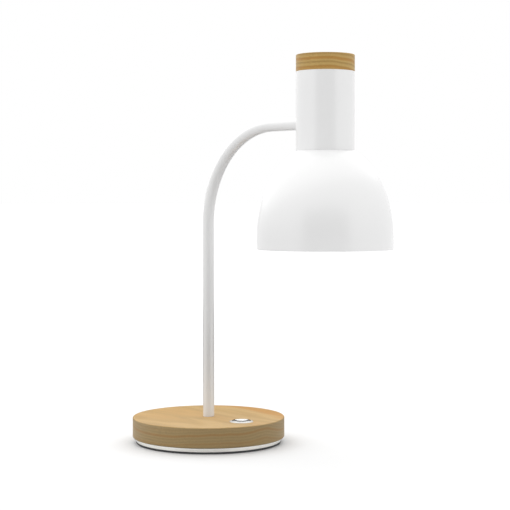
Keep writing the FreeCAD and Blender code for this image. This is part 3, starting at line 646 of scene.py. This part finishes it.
@dataclass(frozen=True)
class Lathe:
    """A line that outlines are turned about."""

    centre: Point
    along: Point = UP
    across: Point = ARM
    steps: int = DISC_STEPS

    def point(self, radius: float, height: float) -> Vector:
        """Point at a radius from the line and a height along it."""
        return Vector(self.centre) + Vector(self.across) * radius + Vector(self.along) * height

    def station(self, place: Vector) -> Pair:
        """Measures where a point lies.

        Args:
            place: the point.

        Returns:
            Its radius from the line and its height along it.
        """
        away = place - Vector(self.centre)
        height = away.dot(Vector(self.along))
        return (away - Vector(self.along) * height).length, height

    def turn(self, corners: list[Corner], closed: bool = True) -> Solid:
        """Turns an outline into a closed solid and rounds its edges.

        Args:
            corners: the outline; one that isn't closed begins and ends on the line.
            closed: whether the last corner joins the first.

        Returns:
            The solid.
        """
        solid = bmesh.new()
        points = [solid.verts.new(self.point(corner.radius, corner.height)) for corner in corners]
        pairs = list(zip(points, points[1:]))
        if closed:
            pairs.append((points[-1], points[0]))
        edges = [solid.edges.new(pair) for pair in pairs]
        bmesh.ops.spin(solid, geom=points + edges, cent=self.centre, axis=self.along,
                       angle=math.tau, steps=self.steps, use_merge=True)
        bmesh.ops.remove_doubles(solid, verts=solid.verts, dist=WELD)
        bmesh.ops.recalc_face_normals(solid, faces=solid.faces)
        for corner in corners:
            if corner.round:
                self.round_ring(solid, corner)
        return solid

    def round_ring(self, solid: Solid, corner: Corner) -> None:
        """Rounds the ring of edges that a corner made.

        Args:
            solid: the turned solid.
            corner: the corner, with the radius to give it.
        """
        on_ring = {vertex for vertex in solid.verts if corner.holds(*self.station(vertex.co))}
        ring = [edge for edge in solid.edges if all(vertex in on_ring for vertex in edge.verts)]
        bmesh.ops.bevel(solid, geom=ring, offset=corner.round, offset_type="OFFSET",
                        segments=EDGE_SEGMENTS, profile=CIRCULAR, affect="EDGES", clamp_overlap=True,
                        material=-1)

    def rod(self, radius: float, low: float, high: float) -> Solid:
        """Plain rod on the line between two heights."""
        return self.turn([Corner(0.0, high), Corner(radius, high), Corner(radius, low),
                          Corner(0.0, low)], closed=False)


def arc(centre: Pair, size: Pair, start: float, end: float, count: int) -> list[Corner]:
    """Points on a stretch of a circle or an upright ellipse.

    Args:
        centre: its radius and height.
        size: its half widths across and along.
        start: first angle, in radians from the outward direction.
        end: last angle.
        count: number of points.

    Returns:
        The points, both ends included.
    """
    angles = [start + (end - start) * step / (count - 1) for step in range(count)]
    return [Corner(centre[0] + size[0] * math.cos(a), centre[1] + size[1] * math.sin(a))
            for a in angles]


def loose_object(solid: Solid, name: str) -> Piece:
    """Puts a shape into the scene as an object at the origin.

    Args:
        solid: the shape, used up.
        name: the object's name.

    Returns:
        The object.
    """
    mesh = bpy.data.meshes.new(name)
    solid.to_mesh(mesh)
    solid.free()
    made = bpy.data.objects.new(name, mesh)
    bpy.context.scene.collection.objects.link(made)
    return made


def carve(solid: Solid, tools: list[Solid]) -> Solid:
    """Cuts tools out of a solid.

    Args:
        solid: what is cut, used up.
        tools: the shapes that are taken away, used up.

    Returns:
        The cut solid.
    """
    target = loose_object(solid, "carved")
    cutters = [loose_object(tool, "cutter") for tool in tools]
    for cutter in cutters:
        cut = target.modifiers.new("cut", "BOOLEAN")
        cut.operation = "DIFFERENCE"
        cut.solver = "EXACT"
        cut.object = cutter
    depsgraph = bpy.context.evaluated_depsgraph_get()
    result = bpy.data.meshes.new_from_object(target.evaluated_get(depsgraph))
    carved = bmesh.new()
    carved.from_mesh(result)
    bmesh.ops.remove_doubles(carved, verts=carved.verts, dist=WELD)
    for used in [target, *cutters]:
        bpy.data.meshes.remove(used.data)
    bpy.data.meshes.remove(result)
    return carved


def settle(solid: Solid, name: str, node: str, body: Body, finish: Finish) -> Piece:
    """Makes a shaped solid a piece of the lamp in place of its CAD node.

    Args:
        solid: the shape, used up.
        name: the piece's name.
        node: the CAD node that it stands for, which it hides.
        body: the body it rides on.
        finish: its finish.

    Returns:
        The piece.
    """
    for face in solid.faces:
        face.smooth = True
    for edge in solid.edges:
        edge.smooth = edge.is_manifold and edge.calc_face_angle(0.0) < SHARP_ANGLE
    piece = loose_object(solid, name)
    piece.data.materials.append(finish.material())
    weighted = piece.modifiers.new("even_normals", "WEIGHTED_NORMAL")
    weighted.keep_sharp = True
    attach(piece, body.value)
    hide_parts(node)
    log.info("%s rides on %s in %s", name, body.value, finish.name)
    return piece


def reach(node: str) -> Point:
    """Outer radius, lowest and highest point of an upright round CAD node."""
    low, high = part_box(node)
    return (high[0] - low[0]) / 2, low[2], high[2]


def middle(node: str) -> Point:
    """Point on the resting surface under the middle of a CAD node."""
    low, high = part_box(node)
    return ((low[0] + high[0]) / 2, (low[1] + high[1]) / 2, 0.0)


def turned(name: str, node: str, body: Body, finish: Finish, corners: list[Corner],
           closed: bool = True, steps: int = SMALL_STEPS) -> None:
    """Turns an outline about the middle of its CAD node and settles the piece."""
    settle(Lathe(middle(node), steps=steps).turn(corners, closed), name, node, body, finish)


def disc(name: str, node: str, body: Body, finish: Finish, top_round: float,
         bottom_round: float) -> None:
    """Makes a solid round piece as large as its CAD node.

    Args:
        name: the piece's name.
        node: the CAD node that it stands for.
        body: the body it rides on.
        finish: its finish.
        top_round: radius of its upper edge.
        bottom_round: radius of its lower edge.
    """
    radius, low, high = reach(node)
    corners = [Corner(0.0, high), Corner(radius, high, top_round),
               Corner(radius, low, bottom_round), Corner(0.0, low)]
    turned(name, node, body, finish, corners, closed=False, steps=DISC_STEPS)


# ---------------------------------------------------------------- sub-assemblies
@dataclass
class SubAssembly:
    """A group of pieces that is built together, with finishes for the CAD nodes that stay."""

    finishes: dict[str, Finish] = field(default_factory=dict)

    def shape(self) -> None:
        """Shapes the group's own pieces."""
        raise NotImplementedError

    def build(self, nodes: dict[str, Piece]) -> None:
        """Shapes the group's own pieces and dresses the nodes that stay.

        Args:
            nodes: the frame's nodes by name.
        """
        self.shape()
        for name, finish in self.finishes.items():
            for slot in nodes[name].material_slots:
                slot.material = finish.material()
            log.info("%s keeps its CAD shape in %s", name, finish.name)


@dataclass
class Base(SubAssembly):
    """Rubber pad, steel plate, wooden puck and the cable gland at its back."""

    pad_round: float = 0.5 * MM
    plate_round: float = 0.4 * MM
    wood_round: float = 1.2 * MM
    pocket_radius: float = 72.0 * MM
    pocket_top: float = 20.5 * MM
    stem_hole: float = 6.4 * MM
    barrel_hole: float = 12.15 * MM
    gland_seat: float = 6.15 * MM
    gland_way: float = 4.42 * MM
    gland_bore: float = 3.1 * MM
    gland_flange: float = 2.4 * MM
    gland_round: float = 0.6 * MM
    finishes: dict[str, Finish] = field(default_factory=lambda: {
        "base_screws": ZINC,
        "ballast_left": BLACKED_IRON,
        "ballast_right": BLACKED_IRON,
        "ballast_screws": ZINC,
        "terminal_block": NYLON,
        "terminal_screws": BRASS,
        "block_screw": ZINC,
    })

    def shape(self) -> None:
        """Shapes pad, plate, puck and gland."""
        disc("foam_foot", "foot_pad", Body.STAND, FOAM, self.pad_round / 2, self.pad_round)
        disc("steel_plate", "base_plate", Body.STAND, PLATE_STEEL, self.plate_round,
             self.plate_round)
        self.puck()
        self.gland()

    def puck(self) -> None:
        """Wooden puck with its pocket and its holes for stem, button and gland."""
        radius, low, high = reach("wood_base")
        corners = [
            Corner(self.stem_hole, high), Corner(radius, high, self.wood_round),
            Corner(radius, low, self.wood_round), Corner(self.pocket_radius, low),
            Corner(self.pocket_radius, self.pocket_top), Corner(self.stem_hole, self.pocket_top),
        ]
        puck = Lathe(middle("wood_base"), steps=BROAD_STEPS).turn(corners)
        button = Lathe(middle("button_bezel"), steps=HOLE_STEPS)
        barrel = button.rod(self.barrel_hole, self.pocket_top - OVERRUN, high + OVERRUN)
        gland = self.gland_lathe()
        way = gland.rod(self.gland_way, -OVERRUN, radius - self.pocket_radius + OVERRUN)
        seat = gland.rod(self.gland_seat, -OVERRUN, self.gland_flange)
        settle(carve(puck, [barrel, way, seat]), "wooden_puck", "wood_base", Body.STAND, BASE_WOOD)

    @staticmethod
    def gland_lathe() -> Lathe:
        """Lathe on the gland's axis, with heights running from its mouth into the wood."""
        low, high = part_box("cable_gland")
        return Lathe((low[0], 0.0, (low[2] + high[2]) / 2), along=ARM, across=UP, steps=GLAND_STEPS)

    def gland(self) -> None:
        """Rubber bush for a mains lead."""
        low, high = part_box("cable_gland")
        flange = (high[2] - low[2]) / 2
        length = high[0] - low[0]
        shank = self.gland_way - PRESS_GAP
        corners = [
            Corner(self.gland_bore, 0.0, self.gland_round), Corner(flange, 0.0, self.gland_round),
            Corner(flange, self.gland_flange), Corner(shank, self.gland_flange),
            Corner(shank, length), Corner(self.gland_bore, length),
        ]
        settle(self.gland_lathe().turn(corners), "rubber_gland", "cable_gland", Body.STAND,
               GLAND_RUBBER)


@dataclass
class PushButton(SubAssembly):
    """Button in its flanged barrel, with the switch below."""

    barrel: float = 12.0 * MM
    bore: float = 11.0 * MM
    lip_bore: float = 10.4 * MM
    lip: float = 2.0 * MM
    flange: float = 1.0 * MM
    flange_land: float = 0.5 * MM     # flat width at the flange's top
    flange_fall: float = 0.7 * MM     # drop of its slope
    flange_round: float = 0.25 * MM
    face: float = 10.1 * MM
    edge_round: float = 0.5 * MM
    dish: float = 8.9 * MM
    dish_depth: float = 1.4 * MM
    dish_points: int = 10
    retainer: float = 2.0 * MM        # height of the rim that the lip holds down
    plunger: float = 3.0 * MM
    travel: float = 2.0 * MM
    spring_wire: float = 0.7 * MM
    spring_turns: float = 3.5
    spring_sides: int = 12            # facets round the wire
    spring_steps: int = 48            # facets along one turn
    finishes: dict[str, Finish] = field(default_factory=lambda: {
        "switch_nut": BLACK_PLASTIC,
        "switch_body": BLACK_PLASTIC,
        "switch_lead": SHEATH,
    })

    def shape(self) -> None:
        """Shapes barrel, button and return spring."""
        self.bezel()
        self.cap()
        self.spring()

    def bezel(self) -> None:
        """Flanged barrel that the button slides in."""
        radius, low, high = reach("button_bezel")
        seat = high - self.flange
        under_lip = high - self.lip
        corners = [
            Corner(self.lip_bore, high, self.flange_round / 2),
            Corner(self.lip_bore + self.flange_land, high, self.flange_round),
            Corner(radius, high - self.flange_fall, self.flange_round / 2), Corner(radius, seat),
            Corner(self.barrel, seat), Corner(self.barrel, low), Corner(self.bore, low),
            Corner(self.bore, under_lip), Corner(self.lip_bore, under_lip),
        ]
        turned("switch_bezel", "button_bezel", Body.STAND, BEZEL_METAL, corners)

    def cap(self) -> None:
        """Button with a dished face, a retaining rim and a plunger."""
        radius, low, high = reach("button_cap")
        _, _, bezel_high = reach("button_bezel")
        rim_top = bezel_high - self.lip
        rim_low = rim_top - self.retainer
        ball = (self.dish ** 2 + self.dish_depth ** 2) / (2 * self.dish_depth)
        centre = (0.0, high - self.dish_depth + ball)
        corners = arc(centre, (ball, ball), DOWN, DOWN + math.asin(self.dish / ball),
                      self.dish_points)
        corners += [
            Corner(self.face, high, self.edge_round), Corner(self.face, rim_top),
            Corner(radius, rim_top), Corner(radius, rim_low), Corner(self.plunger, rim_low),
            Corner(self.plunger, low), Corner(0.0, low),
        ]
        turned("push_button", "button_cap", Body.BUTTON, BUTTON_METAL, corners, closed=False)

    def spring(self) -> None:
        """Return spring under the button's rim."""
        radius, low, high = reach("button_spring")
        centre = Vector(middle("button_cap"))
        coil = bmesh.new()
        bmesh.ops.create_circle(coil, cap_ends=True, segments=self.spring_sides,
                                radius=self.spring_wire / 2)
        bmesh.ops.rotate(coil, verts=coil.verts, matrix=Matrix.Rotation(math.pi / 2, 3, ARM))
        start = centre + Vector((radius - self.spring_wire / 2, 0.0, low + self.spring_wire / 2))
        bmesh.ops.translate(coil, verts=coil.verts, vec=start)
        steps = round(self.spring_turns * self.spring_steps)
        rise = (high - low - self.spring_wire) / steps
        bmesh.ops.spin(coil, geom=[*coil.verts, *coil.edges, *coil.faces], cent=centre, axis=UP,
                       dvec=(0.0, 0.0, rise), angle=math.tau * self.spring_turns, steps=steps)
        bmesh.ops.recalc_face_normals(coil, faces=coil.faces)
        spring = settle(coil, "return_spring", "button_spring", Body.STAND, SPRING_STEEL)
        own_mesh(spring)


@dataclass
class Stem(SubAssembly):
    """Bent tube with its flange, its lead and the pivot at the arm's end."""

    radius: float = 6.25 * MM
    wall: float = 1.25 * MM
    bend: float = 105.0 * MM
    sides: int = 56
    bend_steps: int = 48
    finishes: dict[str, Finish] = field(default_factory=lambda: {
        "stem_flange": ZINC,
        "flange_screws": ZINC,
        "stem_lead": SHEATH,
        "arm_spigot": BRASS,
        "friction_washers": NYLON,
        "stop_washer": ZINC,
        "disc_spring": SPRING_STEEL,
        "pivot_nut": BRASS,
    })

    def shape(self) -> None:
        """Shapes the painted tube: up from the flange, round the bend and along the arm."""
        low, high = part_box("stem_tube")
        arm_height = high[2] - self.radius
        shell = bmesh.new()
        ring = bmesh.ops.create_circle(shell, cap_ends=False, segments=self.sides,
                                       radius=self.radius)["verts"]
        bmesh.ops.translate(shell, verts=ring, vec=(0.0, 0.0, low[2]))
        end = self.lengthen(shell, list(shell.edges), (0.0, 0.0, arm_height - self.bend - low[2]))
        turned = bmesh.ops.spin(shell, geom=end, cent=(self.bend, 0.0, arm_height - self.bend),
                                axis=(0.0, 1.0, 0.0), angle=math.pi / 2, steps=self.bend_steps)
        end = [item for item in turned["geom_last"] if isinstance(item, bmesh.types.BMEdge)]
        self.lengthen(shell, end, (high[0] - self.bend, 0.0, 0.0))
        bmesh.ops.remove_doubles(shell, verts=shell.verts, dist=WELD)
        bmesh.ops.recalc_face_normals(shell, faces=shell.faces)
        self.face_out(shell)
        tube = settle(shell, "bent_tube", "stem_tube", Body.STAND, WHITE_COAT)
        wall = tube.modifiers.new("wall", "SOLIDIFY")
        wall.thickness = self.wall
        wall.offset = -1.0
        wall.use_even_offset = True

    @staticmethod
    def lengthen(shell: Solid, edges: Edges, step: Point) -> Edges:
        """Extrudes a ring of edges.

        Args:
            shell: the open tube.
            edges: the ring at its end.
            step: how far and which way.

        Returns:
            The new ring.
        """
        made = bmesh.ops.extrude_edge_only(shell, edges=edges)["geom"]
        moved = [item for item in made if isinstance(item, bmesh.types.BMVert)]
        bmesh.ops.translate(shell, verts=moved, vec=step)
        return [item for item in made if isinstance(item, bmesh.types.BMEdge)
                and all(vertex in moved for vertex in item.verts)]

    @staticmethod
    def face_out(shell: Solid) -> None:
        """Turns the open tube's faces outwards, judged at its foot.

        Args:
            shell: the open tube.
        """
        shell.faces.ensure_lookup_table()
        foot = min(shell.faces, key=lambda face: face.calc_center_median().z)
        outward = foot.calc_center_median().copy()
        outward.z = 0.0
        if foot.normal.dot(outward) < 0.0:
            bmesh.ops.reverse_faces(shell, faces=shell.faces)


@dataclass
class Head(SubAssembly):
    """Sleeve, wooden cap and the bracket that joins them to the arm."""

    sleeve_bore: float = 28.5 * MM
    sleeve_wall: float = 1.5 * MM
    sleeve_round: float = 0.35 * MM
    arm_hole: float = 6.55 * MM
    cap_round: float = 0.8 * MM
    cap_foot_round: float = 0.3 * MM
    finishes: dict[str, Finish] = field(default_factory=lambda: {
        "head_bracket": ZINC_STRIP,
        "cap_screws": ZINC,
    })

    def shape(self) -> None:
        """Shapes the sleeve and the turned wooden disc on it."""
        self.sleeve()
        disc("wooden_cap", "wood_cap", Body.HEAD, CAP_WOOD, self.cap_round, self.cap_foot_round)

    def sleeve(self) -> None:
        """Painted cup, open below, with a hole in its side for the arm."""
        radius, low, high = reach("socket_sleeve")
        ceiling = high - self.sleeve_wall
        corners = [
            Corner(0.0, high), Corner(radius, high, self.sleeve_round),
            Corner(radius, low, self.sleeve_round), Corner(self.sleeve_bore, low, self.sleeve_round),
            Corner(self.sleeve_bore, ceiling), Corner(0.0, ceiling),
        ]
        centre = middle("socket_sleeve")
        cup = Lathe(centre).turn(corners, closed=False)
        _, _, arm_top = reach("stem_tube")
        arm_height = arm_top - Stem.radius
        arm = Lathe((centre[0], 0.0, arm_height), along=(-1.0, 0.0, 0.0), across=UP, steps=HOLE_STEPS)
        hole = arm.rod(self.arm_hole, self.sleeve_bore / 2, radius * 2)
        settle(carve(cup, [hole]), "painted_sleeve", "socket_sleeve", Body.HEAD, WHITE_COAT)


@dataclass
class Shade(SubAssembly):
    """Spun bell: an upright side, an elliptical shoulder, a seat for the sleeve and a short neck."""

    wall: float = 1.2 * MM
    side: float = 11.5 * MM             # height of the upright side
    shoulder_offset: float = 6.0 * MM   # from the bell's axis to the centre of its ellipse
    seat_margin: float = 0.4 * MM       # flat seat outside the sleeve's rim
    neck: float = 27.6 * MM             # radius
    holder_hole: float = 20.1 * MM
    rim_round: float = 0.35 * MM
    shoulder_points: int = 48

    def shape(self) -> None:
        """Shapes the bell."""
        _, _, top = reach("lampshade")
        outside = self.outline(0.0, top)
        inside = self.outline(self.wall, top - self.wall)
        flange = [Corner(self.holder_hole, top), Corner(self.holder_hole, top - self.wall)]
        turned("bell_shade", "lampshade", Body.HEAD, WHITE_COAT, outside + flange + inside[::-1],
               steps=BROAD_STEPS)

    def outline(self, inset: float, top: float) -> list[Corner]:
        """Outline of the bell, set in from its outside.

        Args:
            inset: how far the outline lies inside the outer face.
            top: where the outline ends.

        Returns:
            Corners from the rim up to the neck's top.
        """
        radius, rim, _ = reach("lampshade")
        sleeve, seat, _ = reach("socket_sleeve")
        side_top = rim + self.side
        width = radius - self.shoulder_offset
        share = (sleeve + self.seat_margin - self.shoulder_offset) / width
        height = (seat - side_top) / math.sqrt(1.0 - share ** 2)
        end = math.asin((seat - inset - side_top) / (height - inset))
        shoulder = arc((self.shoulder_offset, side_top), (width - inset, height - inset), 0.0, end,
                       self.shoulder_points)
        return [Corner(radius - inset, rim, self.rim_round), *shoulder,
                Corner(self.neck - inset, seat - inset), Corner(self.neck - inset, top)]


@dataclass
class LampHolder(SubAssembly):
    """Screw holder that clamps the shade: cap, skirt, ring and its contacts."""

    cap_top: float = 12.0 * MM
    cap_wall: float = 1.8 * MM
    cap_side: float = 4.5 * MM
    cap_bore: float = 5.0 * MM
    cap_round: float = 0.8 * MM
    cap_room: float = 0.3 * MM        # above the skirt's top
    skirt_bore: float = 17.9 * MM
    skirt_round: float = 0.5 * MM
    ring_round: float = 0.5 * MM
    notches: int = 12
    notch: float = 1.2 * MM
    finishes: dict[str, Finish] = field(default_factory=lambda: {
        "holder_nipple": BRASS,
        "holder_nut": BRASS,
        "holder_lead": SHEATH,
        "holder_insert": CERAMIC,
        "holder_contact": BRASS,
        "holder_shell": BRASS,
    })

    def shape(self) -> None:
        """Shapes the three mouldings."""
        self.cap()
        self.skirt()
        self.ring()

    def cap(self) -> None:
        """Upper half of the moulding."""
        radius, low, high = reach("holder_cap")
        skirt, _, skirt_top = reach("holder_skirt")
        thread = skirt + PRESS_GAP
        corners = [
            Corner(self.cap_bore, high), Corner(self.cap_top, high, self.cap_round),
            Corner(radius, low + self.cap_side, self.cap_round), Corner(radius, low),
            Corner(thread, low), Corner(thread, skirt_top + self.cap_room),
            Corner(self.cap_top - self.cap_wall, high - self.cap_wall),
            Corner(self.cap_bore, high - self.cap_wall),
        ]
        turned("holder_top", "holder_cap", Body.HEAD, HOLDER_PLASTIC, corners)

    def skirt(self) -> None:
        """Lower half of the moulding."""
        radius, low, high = reach("holder_skirt")
        corners = [
            Corner(self.skirt_bore, high), Corner(radius, high),
            Corner(radius, low, self.skirt_round), Corner(self.skirt_bore, low, self.skirt_round),
        ]
        turned("holder_sleeve", "holder_skirt", Body.HEAD, HOLDER_PLASTIC, corners)

    def ring(self) -> None:
        """Notched ring that clamps the shade."""
        radius, low, high = reach("shade_ring")
        skirt, _, _ = reach("holder_skirt")
        bore = skirt + PRESS_GAP
        corners = [Corner(bore, high), Corner(radius, high, self.ring_round),
                   Corner(radius, low, self.ring_round), Corner(bore, low, self.ring_round)]
        centre = middle("shade_ring")
        ring = Lathe(centre, steps=SMALL_STEPS).turn(corners)
        cutters = []
        for step in range(self.notches):
            angle = math.tau * step / self.notches
            place = (centre[0] + radius * math.cos(angle), radius * math.sin(angle), 0.0)
            tool = Lathe(place, steps=NOTCH_STEPS)
            cutters.append(tool.rod(self.notch, low - OVERRUN, high + OVERRUN))
        settle(carve(ring, cutters), "clamp_ring", "shade_ring", Body.HEAD, HOLDER_PLASTIC)


@dataclass
class Bulb(SubAssembly):
    """Opal bulb on its moulded collar and screw cap."""

    globe_wall: float = 1.2 * MM
    globe_points: int = 40
    collar_top: float = 13.8 * MM
    collar_round: float = 0.5 * MM
    spigot: float = 11.88 * MM        # radius of the moulding inside the screw cap
    finishes: dict[str, Finish] = field(default_factory=lambda: {
        "bulb_tip": PLATED_CAP,
        "bulb_insulator": BLACK_PLASTIC,
        "bulb_screw_cap": PLATED_CAP,
        "led_board": BOARD,
    })

    def shape(self) -> None:
        """Shapes globe and collar."""
        self.globe()
        self.collar()

    def globe(self) -> None:
        """Opal globe, open where the collar closes it."""
        radius, low, high = reach("bulb_globe")
        centre = (0.0, low + radius)
        inner = radius - self.globe_wall
        rise = high - centre[1]
        outside = arc(centre, (radius, radius), DOWN, math.asin(rise / radius), self.globe_points)
        inside = arc(centre, (inner, inner), math.asin(rise / inner), DOWN, self.globe_points)
        turned("opal_globe", "bulb_globe", Body.HEAD, OPAL, outside + inside, closed=False)

    def collar(self) -> None:
        """Moulded collar, with the spigot that holds the screw cap."""
        radius, low, high = reach("bulb_body")
        _, cap_low, _ = reach("bulb_screw_cap")
        corners = [
            Corner(0.0, low), Corner(radius, low),
            Corner(self.collar_top, cap_low, self.collar_round), Corner(self.spigot, cap_low),
            Corner(self.spigot, high), Corner(0.0, high),
        ]
        turned("bulb_collar", "bulb_body", Body.HEAD, BULB_PLASTIC, corners, closed=False)


# ---------------------------------------------------------------- studio
@dataclass(frozen=True)
class Card:
    """An upright dark card that shows only in the lamp's gloss."""

    name: str
    ahead: float                  # how far it stands beyond the lamp, or before it where negative
    width: float
    height: float


@dataclass
class Studio:
    """Pale floor, white dome, a broad overhead light, dark cards for the gloss and the camera."""

    camera_place: Point = (1.2146, -1.0424, 0.2721)
    camera_heading: Pair = (-0.7373, 0.6756)
    camera_pitch: float = math.radians(-2.23)
    lens: float = 101.1
    sensor: float = 36.0
    clip: float = 200.0
    dome: float = 1.0             # radiance of the white surroundings
    floor_half: float = 60.0
    floor_colour: str = "#E2E2E2"
    flag_radius: float = 0.36     # dark card under the floor, which keeps light off undersides
    flag_drop: float = 1.0 * MM
    flag_colour: str = "#050505"
    overhead_power: float = 1.6
    overhead_spread: float = math.radians(120)
    overhead_lean: float = math.radians(24)   # how far it stands behind the lamp
    overhead_turn: float = math.radians(20)   # and how far round to its left
    # the front card darkens the gloss of sleeve and shade, the low one that of the stem's lower
    # half, and the back one that of the wood's top and the button
    cards: tuple[Card, ...] = (Card("front_card", -3.0, 4.6, 1.5),
                               Card("low_card", -0.3, 0.5, 0.09),
                               Card("back_card", 0.2, 0.9, 0.13))
    card_grey: str = "#2A2A2A"
    matt_roughness: float = 0.9

    def build(self) -> None:
        """Sets up camera, surroundings, floor, cards and light."""
        self.camera()
        self.surroundings()
        self.floor()
        self.stand_cards()
        self.overhead()
        bpy.context.scene.view_settings.view_transform = "Standard"

    def camera(self) -> None:
        """Camera at the lamp's viewing angle."""
        data = bpy.data.cameras.new("camera")
        data.sensor_fit = "HORIZONTAL"
        data.sensor_width = self.sensor
        data.lens = self.lens
        data.clip_end = self.clip
        camera = bpy.data.objects.new("camera", data)
        level = math.cos(self.camera_pitch)
        look = Vector((self.camera_heading[0] * level, self.camera_heading[1] * level,
                       math.sin(self.camera_pitch)))
        camera.location = self.camera_place
        camera.rotation_euler = look.to_track_quat("-Z", "Y").to_euler()
        bpy.context.scene.collection.objects.link(camera)
        bpy.context.scene.camera = camera

    def surroundings(self) -> None:
        """Even white dome."""
        world = bpy.data.worlds.new("white_dome")
        world.use_nodes = True
        background = world.node_tree.nodes["Background"]
        background.inputs["Color"].default_value = linear("#FFFFFF")
        background.inputs["Strength"].default_value = self.dome
        bpy.context.scene.world = world

    def matt(self, name: str, colour: str) -> bpy.types.Material:
        """Makes a matt material for the studio's own pieces.

        Args:
            name: the material's name.
            colour: its colour code.

        Returns:
            The material.
        """
        paper = bpy.data.materials.new(name)
        paper.use_nodes = True
        wire(paper.node_tree, paper.node_tree.nodes["Principled BSDF"],
             {"Base Color": linear(colour), "Roughness": self.matt_roughness,
              "Specular IOR Level": 0.0})
        return paper

    def floor(self) -> None:
        """Pale floor, with a dark card under it that only the lamp's undersides see."""
        plane = bmesh.new()
        bmesh.ops.create_grid(plane, x_segments=1, y_segments=1, size=self.floor_half)
        floor = loose_object(plane, "floor")
        floor.data.materials.append(self.matt("floor_paper", self.floor_colour))
        floor.visible_diffuse = False
        circle = bmesh.new()
        bmesh.ops.create_circle(circle, cap_ends=True, segments=SMALL_STEPS,
                                radius=self.flag_radius)
        bmesh.ops.translate(circle, verts=circle.verts, vec=(0.0, 0.0, -self.flag_drop))
        flag = loose_object(circle, "floor_flag")
        flag.data.materials.append(self.matt("black_felt", self.flag_colour))

    def stand_cards(self) -> None:
        """Stands the dark cards before and behind the lamp."""
        felt = self.matt("grey_felt", self.card_grey)
        heading = Vector((*self.camera_heading, 0.0))
        turn = heading.to_track_quat("Z", "Y").to_matrix().to_4x4()
        for card in self.cards:
            mesh = bmesh.new()
            bmesh.ops.create_grid(mesh, x_segments=1, y_segments=1, size=1.0)
            bmesh.ops.scale(mesh, verts=mesh.verts, vec=(card.width / 2, card.height / 2, 1.0))
            bmesh.ops.transform(mesh, matrix=turn, verts=mesh.verts)
            place = heading * card.ahead + Vector(UP) * (card.height / 2)
            bmesh.ops.translate(mesh, verts=mesh.verts, vec=place)
            board = loose_object(mesh, card.name)
            board.data.materials.append(felt)
            board.visible_camera = False
            board.visible_diffuse = False
            board.visible_shadow = False

    def overhead(self) -> None:
        """Broad soft light above, a little behind."""
        data = bpy.data.lights.new("overhead", "SUN")
        data.energy = self.overhead_power
        data.angle = self.overhead_spread
        light = bpy.data.objects.new("overhead", data)
        ahead = Vector((*self.camera_heading, 0.0))
        ahead.rotate(Quaternion(UP, self.overhead_turn))
        source = Vector(UP) * math.cos(self.overhead_lean) + ahead * math.sin(self.overhead_lean)
        light.rotation_euler = source.to_track_quat("Z", "Y").to_euler()
        bpy.context.scene.collection.objects.link(light)


def main() -> None:
    """Builds the lamp around its frame."""
    logging.basicConfig(level=logging.INFO, format="%(name)s: %(message)s")
    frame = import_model()
    Studio().build()
    for part in (Base(), PushButton(), Stem(), Head(), Shade(), LampHolder(), Bulb()):
        part.build(frame["nodes"])


if __name__ == "__main__":
    main()
